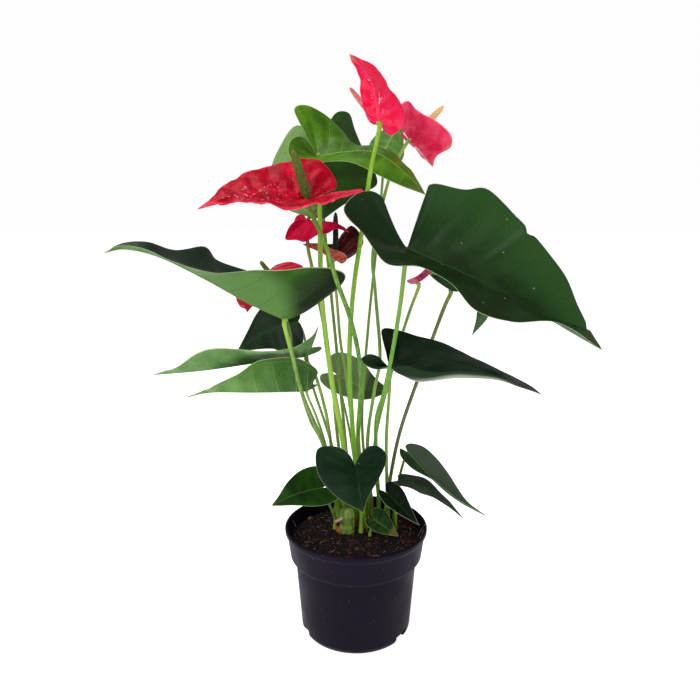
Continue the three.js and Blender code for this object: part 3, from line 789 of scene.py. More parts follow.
@dataclass(frozen=True)
class StalkFinish(Finish):
    """Skin of a stalk, from its pale foot to its neck; heights are shares of its length."""

    foot: str
    middle: str
    neck: str
    flush: str
    roughness: float = 0.42

    def paint(self, shader: Shader) -> Material:
        """Build the skin with its long streaks and soft patches.

        Args:
            shader: The shader to build on.

        Returns:
            The finished material.
        """
        along = shader.attribute("along")
        streak = shader.patches(2.2, 4, 0.36, 0.66, 1, (1, 1, 0.06))
        skin = shader.mix(shader.fade(along, 0.0, 0.35, 0, 1), self.foot, self.middle)
        skin = shader.mix(shader.fade(along, 0.72, 1.0, 0, 1), skin, self.neck)
        skin = shader.mix(shader.times(shader.patches(34, 3, 0.35, 0.7), 0.45), skin, self.flush)
        skin = shader.mix(shader.times(streak, 0.3), skin, self.foot)
        normal = shader.bump(shader.noise(1.2, 3), 0.05, shader.bump(streak, 0.12))
        return shader.finish(skin, self.roughness, normal, Specular_IOR_Level=0.3)


@dataclass(frozen=True)
class SpadixFinish(Finish):
    """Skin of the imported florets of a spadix, from its foot to its tip."""

    foot: str
    tip: str
    dust: str
    roughness: float = 0.5

    def paint(self, shader: Shader) -> Material:
        """Build the skin, which varies from floret to floret.

        Args:
            shader: The shader to build on.

        Returns:
            The finished material.
        """
        skin = shader.fade(shader.attribute("along"), 0.2, 0.95, 0, 1)
        skin = shader.mix(skin, self.foot, self.tip)
        skin = shader.mix(shader.times(shader.attribute("tone"), 0.45), skin, self.dust)
        normal = shader.bump(shader.noise(0.5, 3), 0.06)
        return shader.finish(skin, self.roughness, normal, Specular_IOR_Level=0.3)


@dataclass(frozen=True)
class MouldedFinish(Finish):
    """Moulded pot plastic; its lighter scuff colour also grows towards the rim, between two
    heights in metres, as a painted highlight.
    """

    name: str = "pot_plastic"
    base: str = "#100817"
    wear_and_highlight: str = "#1e1727"
    dust: str = "#8d8490"
    rim_light_start: float = 0.070
    rim_light_end: float = 0.101
    roughness: float = 0.42

    def paint(self, shader: Shader) -> Material:
        """Build the plastic with faint flow marks, scuffs, a painted highlight towards the rim, and
        dust.

        Args:
            shader: The shader to build on.

        Returns:
            The finished material.
        """
        cloud = shader.patches(26, 5, 0.35, 0.75)
        scuff = shader.patches(5, 6, 0.6, 0.74, 0.3, (1, 1, 0.14))
        height = shader.split(shader.place)[2]
        # Painted highlight: the pot grows lighter towards the rim.
        high = shader.fade(height, self.rim_light_start, self.rim_light_end, 0, 0.22)
        skin = shader.mix(shader.times(cloud, 0.16), self.base, self.wear_and_highlight)
        skin = shader.mix(shader.math("MAXIMUM", scuff, high), skin, self.wear_and_highlight)
        skin = shader.mix(shader.dots(7, 0.03, 0.075, 0.35), skin, self.dust)
        normal = shader.bump(shader.noise(0.9, 4), 0.035)
        normal = shader.bump(shader.noise(6, 3, (1, 1, 0.3)), 0.1, normal)
        gloss = shader.math("MULTIPLY_ADD", cloud, 0.16, self.roughness)
        return shader.finish(skin, gloss, normal, Specular_IOR_Level=0.06)


@dataclass(frozen=True)
class PeatFinish(Finish):
    """Damp fibrous peat in broken browns, redder on one side of the pot."""

    dark: str
    brown: str
    light: str
    red: str
    light_share: float = 0.3
    red_end: float = 0.05

    def paint(self, shader: Shader) -> Material:
        """Build the peat; the random tone picks the light pieces.

        Args:
            shader: The shader to build on.

        Returns:
            The finished material.
        """
        across = shader.split(shader.place)[0]
        share = shader.fade(across, 0.0, self.red_end, 0.55, 1.5)
        patch = shader.times(shader.noise(16, 4), share)
        skin = shader.mix(shader.patches(2.4, 6, 0.38, 0.66), self.dark, self.brown)
        skin = shader.mix(shader.fade(patch, 0.5, 0.95, 0, 0.75), skin, self.red)
        bright = 1 - self.light_share
        pale = shader.fade(shader.attribute("tone"), bright, min(1.0, bright + 0.12), 0, 0.9)
        skin = shader.mix(pale, skin, self.light)
        normal = shader.bump(shader.noise(0.8, 6), 0.5)
        damp = shader.fade(shader.noise(4, 4), 0.35, 0.6, 0.5, 0.95)
        return shader.finish(skin, damp, normal, Specular_IOR_Level=0.3)


@dataclass(frozen=True)
class PaperyFinish(Finish):
    """Dry fibrous sheath, bark or root with long streaks."""

    base: str
    dark: str
    light: str
    roughness: float = 0.75
    streak: float = 1.3

    def paint(self, shader: Shader) -> Material:
        """Build the fibres and the darker patches over them.

        Args:
            shader: The shader to build on.

        Returns:
            The finished material.
        """
        fibre = shader.patches(self.streak, 5, 0.34, 0.66, 1, (1, 1, 0.12))
        skin = shader.mix(fibre, self.base, self.light)
        skin = shader.mix(shader.times(shader.patches(7, 4, 0.35, 0.68), 0.75), skin, self.dark)
        return shader.finish(skin, self.roughness, shader.bump(fibre, 0.25))


@dataclass(frozen=True)
class PaperFloorFinish(Finish):
    """Seamless studio paper, lifted to the white of the surround."""

    name: str = "studio_paper"
    shade: str = "#f4f4f5"
    pale: str = "#f9f9f9"
    lift: float = 0.92

    def paint(self, shader: Shader) -> Material:
        """Build the paper with its faint clouds and tooth.

        Args:
            shader: The shader to build on.

        Returns:
            The finished material.
        """
        skin = shader.mix(shader.times(shader.noise(400, 2), 0.5), self.shade, self.pale)
        return shader.finish(
            skin, 0.9, shader.bump(shader.noise(0.7, 2), 0.01), Specular_IOR_Level=0.1,
            Emission_Color=colour(self.shade), Emission_Strength=self.lift,
        )


# ---------------------------------------------------------------------- curves and surfaces
@dataclass(frozen=True)
class Curve:
    """An even Catmull-Rom curve through its knots, with mirrored ends."""

    knots: Points

    def at(self, place: Array) -> Array:
        """Points of the curve.

        Args:
            place: Shares of the way along, from 0 to 1.

        Returns:
            One point for each share.
        """
        knots = np.asarray(self.knots, float)
        padded = np.vstack([2 * knots[0] - knots[1], knots, 2 * knots[-1] - knots[-2]])
        spot = np.clip(place, 0, 1) * (len(knots) - 1)
        low = np.minimum(spot.astype(int), len(knots) - 2)
        w = (spot - low)[..., None]
        before, start, end, after = (padded[low + i] for i in range(4))
        go, come = (end - before) / 2, (after - start) / 2
        cubic = 2 * start - 2 * end + go + come
        square = 3 * end - 3 * start - 2 * go - come
        return cubic * w**3 + square * w**2 + go * w + start

    def heading(self, place: Array) -> Array:
        """Directions of the curve.

        Args:
            place: Shares of the way along, from 0 to 1.

        Returns:
            One unit vector for each share.
        """
        step = 1e-4
        ahead = self.at(np.clip(place + step, 0, 1)) - self.at(np.clip(place - step, 0, 1))
        return ahead / np.linalg.norm(ahead, axis=-1, keepdims=True)

    def evenly(self, spacing: float) -> Array:
        """Evenly spaced points of the curve.

        Args:
            spacing: About how far apart they are.

        Returns:
            The points from end to end, at least five.
        """
        fine = self.at(np.linspace(0, 1, 600))
        run = np.concatenate([[0], np.cumsum(np.linalg.norm(np.diff(fine, axis=0), axis=1))])
        count = max(4, round(run[-1] / spacing))
        marks = np.linspace(0, run[-1], count + 1)
        return np.stack([np.interp(marks, run, fine[:, k]) for k in range(3)], axis=1)


@dataclass(frozen=True)
class Rib:
    """A blade's midrib, with the way its upper face looks carried along it untwisted."""

    curve: Curve
    up: Point
    samples: int = 40

    @property
    def span(self) -> float:
        """Straight distance from the rib's start to its tip."""
        return float(np.linalg.norm(np.subtract(self.curve.knots[-1], self.curve.knots[0])))

    def normals(self) -> Array:
        """Carry the upward direction along the rib.

        Returns:
            Upward unit vectors at even shares of the rib.
        """
        found = []
        normal = np.asarray(self.up, float)
        for tangent in self.curve.heading(np.linspace(0, 1, self.samples + 1)):
            normal = normal - normal @ tangent * tangent
            normal = normal / np.linalg.norm(normal)
            found.append(normal)
        return np.array(found)

    def frame(self, place: Array) -> tuple[Array, Array, Array, Array]:
        """Where the rib is and how it faces.

        Args:
            place: Shares of the way along; values outside 0 to 1 are held at the ends.

        Returns:
            Points, directions along the rib, upward directions and directions to the right.
        """
        along = np.clip(place, 0, 1)
        tangent = self.curve.heading(along)
        normals = self.normals()
        low = np.minimum((along * self.samples).astype(int), self.samples - 1)
        share = (along * self.samples - low)[..., None]
        up = normals[low] * (1 - share) + normals[low + 1] * share
        up = up - (up * tangent).sum(-1, keepdims=True) * tangent
        up = up / np.linalg.norm(up, axis=-1, keepdims=True)
        return self.curve.at(along), tangent, up, np.cross(tangent, up)


@dataclass(frozen=True)
class Relief:
    """How a blade swells and sinks between its veins, in mm where not said."""

    veins: float = 9.0
    quilt: float = 0.55
    groove: float = 0.35
    ridge: float = 0.75
    wave: float = 0.5
    waves: float = 3.2
    pucker: float = 0.25
    pucker_size: float = 16.0
    thickness: float = 0.7
    nicks: tuple[tuple[float, int, float], ...] = ()


@dataclass(frozen=True)
class Blade:
    """A heart-shaped blade: a leaf's lamina or a flower's spathe.

    The margins run from the sinus round the lobe to the tip; their points are along the
    midrib, out from it and above it, in blade lengths.
    """

    name: str
    rib: Rib
    left: Points
    right: Points
    relief: Relief
    vein_start: float = 0.3
    vein_sweep: float = 1.4
    cup: float = 1.4
    columns: int = 15
    crowding: float = 1.5
    nick_width: float = 0.011
    full_reach: float = 9.0

    def grid(self) -> tuple[Array, Array, Array, Array]:
        """The middle surface as rows from the sinus to the tip.

        Returns:
            Points, the share of each row along the margin, the signed share of each column
            out from the midrib, and the place of each point along the rib.
        """
        first = 1 / (max(len(self.left), len(self.right)) + 1)
        rows = int(np.clip(self.rib.span * 0.95, 44, 112))
        s = np.linspace(first, 1, rows)[:, None]
        spread = (np.arange(self.columns + 1) / self.columns) ** self.crowding
        spread = np.append(spread[:-1], [1 - 0.3 * (1 - spread[-2]), 1])
        out = np.concatenate([-spread[:0:-1], spread])[None, :]
        t = np.abs(out)
        base, tip = (0.0, 0.0, 0.0), (1.0, 0.0, 0.0)
        sides = [Curve((base, *side, tip)).at(s) for side in (self.left, self.right)]
        margin = np.where(out[..., None] < 0, sides[0], sides[1])
        along, across, rise = (margin[..., k] for k in range(3))
        for spot, half, depth in self.relief.nicks:
            notch = np.exp(-(((s - spot) / self.nick_width) ** 2)) * (np.sign(out) == half)
            across = across * (1 - depth * notch)
        swept = np.maximum(s - self.vein_start, 0) / (1 - self.vein_start)
        root = swept**self.vein_sweep + 0 * out
        place = root + (along - root) * t
        point, tangent, up, side = self.rib.frame(place)
        span = self.rib.span
        point = point + tangent * (np.minimum(place, 0) * span)[..., None]
        point = point + side * (np.sign(out) * across * t * span)[..., None]
        point = point + up * (rise * t**self.cup * span)[..., None]
        return point, s + 0 * out, out + 0 * s, place

    def relief_heights(self, point: Array, s: Array, out: Array, reach: Array) -> Array:
        """Swelling between the veins, waves of the margin and uneven growth.

        Args:
            point: Points of the middle surface.
            s: Share of each point along the margin.
            out: Signed share of each point out from the midrib.
            reach: Distance from the midrib to the margin at each point.

        Returns:
            Height of each point above the middle surface.
        """
        shape, t = self.relief, np.abs(out)
        swell = 0.5 - 0.5 * np.cos(FULL_TURN * self.vein_turns(s, out))
        body = smooth(t, 0.02, 0.25) * (1 - smooth(t, 0.8, 1))
        lift = shape.quilt * swell * body * np.clip(self.vein_spacing(point, s) / 8, 0, 1.4)
        phase = 0.7 * len(self.name) + np.where(out < 0, 0, 2.1)
        lift = lift + shape.wave * t**3 * np.sin(FULL_TURN * shape.waves * s + phase)
        rough = [noise.noise(Vector(p / shape.pucker_size)) for p in point.reshape(-1, 3)]
        lift = lift + shape.pucker * np.reshape(rough, s.shape) * 2 * smooth(t, 0, 0.3)
        return lift * self.slimness(reach)

    def vein_turns(self, s: Array, out: Array) -> Array:
        """Number of side veins passed from the sinus; those of the two halves alternate."""
        return s * self.relief.veins + np.where(out > 0, 0.5, 0.0)

    def vein_spacing(self, point: Array, s: Array) -> Array:
        """Distance between side veins.

        Args:
            point: Points of the middle surface.
            s: Share of each point along the margin.

        Returns:
            The distance at each point, in mm.
        """
        across = np.gradient(point, axis=1)
        down = np.gradient(point, axis=0) / np.gradient(s, axis=0)[..., None]
        across = across / np.maximum(np.linalg.norm(across, axis=-1, keepdims=True), 1e-6)
        return np.linalg.norm(np.cross(down, across), axis=-1) / self.relief.veins

    def slimness(self, reach: Array) -> Array:
        """Share of the relief that a part of the blade with this reach has room for."""
        return np.clip(reach / self.full_reach, 0, 1)

    def mesh(self, upper: Material, under: Material) -> Mesh:
        """The closed blade with its relief and the maps that its finish follows.

        Args:
            upper: Material of the upper face.
            under: Material of the lower face.

        Returns:
            The blade's mesh.
        """
        shape = self.relief
        point, s, out, place = self.grid()
        t = np.abs(out)
        centre = s.shape[1] // 2
        ends = np.where((out < 0)[..., None], point[:, :1], point[:, -1:])
        reach = np.linalg.norm(ends - point[:, centre : centre + 1], axis=-1)
        from_rib = t * reach
        rib_size = (1.1 - np.clip(place, 0, 1)) * self.slimness(reach)
        groove = shape.groove * np.exp(-((from_rib / 1.5) ** 2)) * rib_size
        ridge = shape.ridge * np.exp(-((from_rib / 1.3) ** 2)) * rib_size
        thick = shape.thickness / 2 * (0.35 + 0.65 * smooth((1 - t) * reach, 0, 3))
        lift = self.relief_heights(point, s, out, reach)

        flat = point.reshape(-1, 3)
        _, index, inverse = np.unique(
            np.round(flat, 2), axis=0, return_index=True, return_inverse=True
        )
        sheet, count = flat[index], len(index)
        faces = sheet_faces(inverse.reshape(s.shape))
        normals = self.point_normals(sheet, faces)
        rise, top, low = (a.reshape(-1)[index] for a in (lift, thick - groove, -ridge - thick))
        vertices = np.vstack([sheet + normals * h[:, None] for h in (rise + top, rise + low)])
        shell, rim = shell_faces(faces, count)
        mesh = mesh_from(self.name, vertices, shell + rim)
        mesh.materials.append(upper)
        mesh.materials.append(under)
        lower = [0] * len(faces) + [1] * len(faces) + [0] * len(rim)
        mesh.polygons.foreach_set("material_index", lower)
        mesh.polygons.foreach_set("use_smooth", [True] * len(shell) + [False] * len(rim))
        veins = self.vein_turns(s, out), t, self.vein_spacing(point, s)
        for name, maps in (("vein_map", veins), ("blade_map", (reach, np.clip(place, 0, 1), out))):
            values = np.stack(maps, -1).reshape(-1, 3)[index]
            put_attribute(mesh, name, np.vstack([values, values]))
        return mesh

    @staticmethod
    def point_normals(points: Array, faces: Sequence[Sequence[int]]) -> Array:
        """Normals of a sheet, weighted by the faces round each point.

        Args:
            points: The sheet's points.
            faces: Its faces of three or four corners.

        Returns:
            One unit vector a point.
        """
        normals = np.zeros_like(points)
        for face in faces:
            corners = points[face]
            normal = np.cross(corners[1] - corners[0], corners[2] - corners[0])
            if len(face) == 4:
                normal = np.cross(corners[2] - corners[0], corners[3] - corners[1])
            normals[face] += normal
        length = np.linalg.norm(normals, axis=1, keepdims=True)
        return normals / np.maximum(length, 1e-9)


class StalkGrower(Grower):
    """Grows a stalk along a line, flared at its foot and swollen at its neck."""

    def __init__(self) -> None:
        """Build the tree."""
        super().__init__(
            "stalk_grower", "Radius", "Taper", "Flare", "Flare Length", "Swell", "Swell Length",
            "Sides", "Material",
        )
        given = self.given
        curve = self.geo("MeshToCurve", {0: given["Geometry"]})
        spline = self.add("GeometryNodeSplineParameter").outputs
        length = self.geo("SplineLength")
        left = self.less(length, spline["Length"])
        flare = self.times(self.fade(spline["Length"], 0, given["Flare Length"]), given["Flare"])
        swell = self.times(self.fade(left, 0, given["Swell Length"]), given["Swell"])
        uneven = self.out("ShaderNodeTexNoise", {"Scale": 55.0, "Detail": 2.0})
        uneven = self.math("MULTIPLY_ADD", uneven, 0.24, 0.88)
        share = self.math("ADD", self.math("ADD", flare, swell), uneven)
        thin = self.times(spline["Factor"], given["Taper"])
        share = self.times(share, self.less(1.0, thin))
        curve = self.store(curve, "along", spline["Factor"])
        self.close(self.tube(curve, given["Sides"], self.times(share, given["Radius"])))


class SpadixGrower(Grower):
    """Packs florets in a spiral round a tapering core that stands along +Z."""

    def __init__(self) -> None:
        """Build the tree."""
        super().__init__(
            "spadix_grower", "Length", "Radius", "Taper", "Neck", "Count", "Floret", "Seed",
            "Material",
        )
        count = self.given["Count"]
        index = self.geo("InputIndex")
        share = self.math("POWER", self.math("DIVIDE", index, self.less(count, 1)), 1.12)
        angle = self.times(index, GOLDEN_ANGLE)
        east, north = self.math("COSINE", angle), self.math("SINE", angle)
        radius = self.radius(share)
        height = self.times(share, self.given["Length"])
        place = self.vector(self.times(east, radius), self.times(north, radius), height)
        points = self.geo("Points", {"Count": count, "Position": place})
        points = self.store(points, "along", share)
        points = self.store(points, "tone", self.random(0.0, 1.0, 1))
        inputs = {"Segments": 6, "Rings": 4, "Radius": 1.0}
        floret = self.geo("MeshUVSphere", inputs)
        inputs = {"Vector": self.vector(east, north, self.fade(share, 0.8, 1, 0.1, 2))}
        facing = self.out("FunctionNodeAlignRotationToVector", inputs, axis="Z")
        size = self.times(self.random(0.85, 1.15, 2), self.given["Floret"])
        size = self.times(size, self.fade(share, 0.75, 1, 1, 0.7))
        scale = self.vector(size, size, self.times(size, 0.75))
        inputs = {"Points": points, "Instance": floret, "Rotation": facing, "Scale": scale}
        florets = self.geo("InstanceOnPoints", inputs)
        florets = self.geo("RealizeInstances", {0: florets})
        join = self.add("GeometryNodeJoinGeometry")
        self.plug(self.core(), join.inputs[0])
        self.plug(florets, join.inputs[0])
        self.close(join.outputs[0])

    def radius(self, share: Socket) -> Socket:
        """Radius of the core.

        Args:
            share: Share of the spadix's height.

        Returns:
            The radius there: a neck, a taper and a dome.
        """
        below = self.less(1.0, self.math("POWER", share, 7.0))
        dome = self.math("SQRT", self.math("MAXIMUM", below, 0.0))
        taper = self.times(self.times(share, share), self.given["Taper"])
        full = self.times(dome, self.less(1.0, taper))
        narrow = self.fade(share, 0.0, 0.12, self.given["Neck"], 1.0)
        return self.times(self.times(full, narrow), self.given["Radius"])

    def core(self) -> Socket:
        """The core that the florets sit on.

        Returns:
            A closed tube.
        """
        top = self.vector(0.0, 0.0, self.given["Length"])
        inputs = {"Count": 20, "Start Location": (0, 0, 0), "Offset": top}
        line = self.geo("MeshLine", inputs, mode="END_POINTS")
        curve = self.geo("MeshToCurve", {0: line})
        share = self.add("GeometryNodeSplineParameter").outputs["Factor"]
        wide = self.math("MAXIMUM", self.radius(share), 0.0003)
        return self.tube(self.store(curve, "along", share), 12, wide)


class CrumbGrower(Grower):
    """Scatters small angular lumps over a surface."""

    def __init__(self) -> None:
        """Build the tree."""
        super().__init__("crumb_grower", "Density", "Smallest", "Largest", "Seed", "Material")
        inputs = {"Radius": 1.0, "Subdivisions": 1}
        lump = self.geo("MeshIcoSphere", inputs)
        spin = self.random((0, 0, 0), (6.3, 6.3, 6.3), 2)
        even = self.math("POWER", self.random(0.0, 1.0, 3), 2.2)
        inputs = {"Value": even, "To Min": self.given["Smallest"], "To Max": self.given["Largest"]}
        size = self.out("ShaderNodeMapRange", inputs)
        shape = self.random((0.55, 0.55, 0.4), (1.0, 1.25, 1.0), 4)
        scale = self.add("ShaderNodeVectorMath", {0: shape, "Scale": size}, operation="SCALE")
        self.close(self.scatter(lump, spin, scale.outputs[0]))


class FibreGrower(Grower):
    """Scatters thin curved fibres over a surface."""

    def __init__(self) -> None:
        """Build the tree."""
        super().__init__(
            "fibre_grower", "Density", "Shortest", "Longest", "Thickness", "Seed", "Material"
        )
        given = self.given
        inputs = {"Resolution": 7, "Radius": 1.0, "Sweep Angle": 1.3}
        arc = self.geo("CurveArc", inputs)
        hair = self.tube(arc, 3, given["Thickness"])
        hair = self.geo("Transform", {0: hair, "Translation": (-1, 0, 0)})
        spin = self.random((-0.5, -0.5, 0), (0.5, 0.5, 6.3), 2)
        self.close(self.scatter(hair, spin, self.random(given["Shortest"], given["Longest"], 3)))


# ----------------------------------------------------------------------------- sub-assemblies
class Tone(Enum):
    """Leaf colours, named as the record's material slots."""

    DARK = "dark_leaf"
    MID = "mid_leaf"
    BRIGHT = "bright_leaf"


class Bloom(Enum):
    """Spathe colours, named as the record's material slots."""

    RED = "red_spathe"
    ROSE = "rose_spathe"
    SHADED_MAROON = "maroon_spathe"


class Spike(Enum):
    """Spadix colours, named as the record's material slots."""

    PINK = "pink_spadix"
    YELLOW = "yellow_spadix"
    DARK = "dark_spadix"
    GREEN = "green_spadix"


def margin(*points: tuple[int, int, int]) -> Points:
    """Margin of a half blade from points in hundredths of the blade's length."""
    return tuple(tuple(part / 100 for part in point) for point in points)


def plain_side(width: float, rise: float, lobe: float = 0.26) -> Points:
    """Margin of a plain half blade, in blade lengths.

    Args:
        width: Greatest reach out from the midrib.
        rise: Greatest height above the midrib.
        lobe: How far the basal lobe reaches back behind the stalk.

    Returns:
        Points along the midrib, out from it and above it.
    """
    return (
        (-0.6 * lobe, 0.1 * width, 0.1 * rise),
        (-lobe, 0.42 * width, 0.5 * rise),
        (-0.75 * lobe, 0.8 * width, rise),
        (0.04, width, rise),
        (0.3, 0.93 * width, 0.9 * rise),
        (0.56, 0.66 * width, 0.5 * rise),
        (0.8, 0.3 * width, 0.1 * rise),
    )


@dataclass(frozen=True)
class StalkShape:
    """Sizes that all stalks share, in mm."""

    soil: float = 89.0
    riser: float = 20.0
    knee: float = 4.0
    bend_share: float = 0.3
    step: float = 3.2
    swell: float = 0.16
    swell_length: float = 13.0
    sunk: float = 0.2
    sides: int = 10

    def path(self, root: Point, via: Points, base: Array, up: Array) -> Array:
        """Line of a stalk.

        Args:
            root: Where it leaves the soil, across and back.
            via: Points that it passes.
            base: Where it meets the blade.
            up: The way the blade's upper face looks there.

        Returns:
            Points about a step apart.
        """
        foot = np.array([root[0], root[1], self.soil])
        short = self.bend_share * (base[2] - foot[2])
        riser = foot + np.array([0, 0, min(self.riser, short)])
        knee = base - up * min(self.knee, short)
        head = base - up * self.sunk
        knots = (tuple(foot), tuple(riser), *via, tuple(knee), tuple(head))
        return Curve(knots).evenly(self.step)


STALK_SHAPE = StalkShape()
LEAF_STALK = StalkFinish("leaf_stalk_skin", "#9cc03c", "#6c9230", "#7a9c3a", "#4c6a28")
FLOWER_STALK = StalkFinish("flower_stalk_skin", "#98b84a", "#74963a", "#8ca044", "#5a7434")
SPATHE_RELIEF = Relief(
    veins=8, quilt=0.5, ridge=0.5, groove=0.3, wave=0.4, pucker=0.45, pucker_size=9
)
Skins = tuple[LaminaFinish, LaminaFinish]
Look = dict[str, str | float]


@dataclass(frozen=True)
class Shoot:
    """A blade on its stalk, grown from the crown.

    Skins stand in for those of its kind, and upper and under say what is this blade's own.
    """

    name: str
    rib: Points
    up: Point
    left: Points
    right: Points
    root: Point
    radius: float
    via: Points
    taper: float = 0.25
    flare: float = 0.35
    flare_length: float = 30.0
    skins: Skins | None = None
    upper: Look | None = None
    under: Look | None = None
    stalk_skin: StalkFinish = LEAF_STALK

    @property
    def midrib(self) -> Rib:
        """The blade's midrib."""
        return Rib(Curve(self.rib), self.up)

    @property
    def joint(self) -> tuple[Array, Array]:
        """Where the stalk meets the blade, and the way the blade's upper face looks there."""
        base, _, up, _ = self.midrib.frame(np.array([0.0]))
        return base[0], up[0]

    def blade(self, part: str, relief: Relief, shared: Skins) -> Mesh:
        """The blade with its upper and lower skins.

        Args:
            part: Word for the blade in its name.
            relief: Its relief.
            shared: Skins of its kind.

        Returns:
            The blade's mesh.
        """
        faces = zip(("upper", "under"), self.skins or shared, (self.upper, self.under))
        upper, under = (
            replace(skin, name=f"{self.name}_{face}", **look) if look else skin
            for face, skin, look in faces
        )
        blade = Blade(f"{self.name}_{part}_skin", self.midrib, self.left, self.right, relief)
        return blade.mesh(upper.material(), under.material())

    def stalk(self, grower: StalkGrower) -> Mesh:
        """The stalk from the soil to the blade.

        Args:
            grower: What grows it.

        Returns:
            The stalk's mesh.
        """
        line = line_from(
            f"{self.name}_line", STALK_SHAPE.path(self.root, self.via, *self.joint)
        )
        return grower.grow(
            f"{self.name}_stalk_skin", line, Radius=self.radius * MM, Taper=self.taper,
            Flare=self.flare, Flare_Length=self.flare_length * MM, Swell=STALK_SHAPE.swell,
            Swell_Length=STALK_SHAPE.swell_length * MM, Sides=STALK_SHAPE.sides,
            Material=self.stalk_skin.material(),
        )


@dataclass(frozen=True)
class Leaf(Shoot):
    """A leaf: its lamina and its stalk."""

    tone: Tone = Tone.MID
    nicks: tuple[tuple[float, int, float], ...] = ()
    full_span: float = 110.0

    def relief(self) -> Relief:
        """Swelling of the lamina, less on a small or a dark leaf.

        Returns:
            The relief.
        """
        size = min(1.0, self.midrib.span / self.full_span)
        quilt = (0.35 if self.tone is Tone.DARK else 0.7) * size
        return Relief(
            quilt=quilt, ridge=0.9 * size, wave=0.5 * size, veins=6 + 4 * size, nicks=self.nicks
        )

    def build(self, grower: StalkGrower) -> None:
        """Build, dress and place the leaf.

        Args:
            grower: What grows its stalk.
        """
        blade = self.blade("blade", self.relief(), LEAF_TONES[self.tone])
        place_piece(f"{self.name}_lamina", blade, f"{self.name}_blade")
        stalk = self.stalk(grower)
        place_piece(f"{self.name}_petiole", stalk, f"{self.name}_stalk")


@dataclass(frozen=True)
class Flower(Shoot):
    """A flower: its spathe, its spadix and its stalk."""

    spadix_tip: Point = (0, 0, 0)
    spadix_radius: float = 2.0
    spadix_taper: float = 0.3
    spadix_gap: float = 0.4
    relief: Relief = SPATHE_RELIEF
    stalk_skin: StalkFinish = FLOWER_STALK
    bloom: Bloom = Bloom.ROSE
    spike: Spike = Spike.GREEN

    def build(self, grower: StalkGrower, spadices: SpadixGrower) -> None:
        """Build, dress and place the flower.

        Args:
            grower: What grows its stalk.
            spadices: What grows its spadix.
        """
        spathe = self.blade("spathe", self.relief, BLOOM_TONES[self.bloom])
        place_piece(f"{self.name}_bract", spathe, f"{self.name}_spathe")
        stalk = self.stalk(grower)
        place_piece(f"{self.name}_peduncle", stalk, f"{self.name}_stalk")
        spike = self.spadix(spadices)
        place_piece(f"{self.name}_spike", spike, f"{self.name}_spadix")

    def spadix(self, grower: SpadixGrower) -> Mesh:
        """The spadix, turned to stand on the spathe's base.

        Args:
            grower: What grows it.

        Returns:
            The spadix's mesh.
        """
        base, up = self.joint
        foot = Vector(base + up * self.spadix_gap)
        axis = Vector(self.spadix_tip) - foot
        radius = self.spadix_radius
        floret = 0.62 if radius < 3 else 0.8
        area = FULL_TURN * radius * axis.length * 0.8
        mesh = grower.grow(
            f"{self.name}_spadix_skin", bpy.data.meshes.new(f"{self.name}_spadix_seed"),
            Length=(axis.length - floret) * MM, Radius=(radius - 0.5 * floret) * MM,
            Taper=self.spadix_taper, Neck=0.6, Floret=floret * MM, Seed=SEED + len(self.name),
            Count=int(np.clip(area / (1.35 * floret) ** 2, 120, 420)),
            Material=SPIKE_SKINS[self.spike].material(),
        )
        turn = axis.to_track_quat("Z", "Y").to_matrix().to_4x4()
        mesh.transform(Matrix.Translation(foot * MM) @ turn)
        return mesh


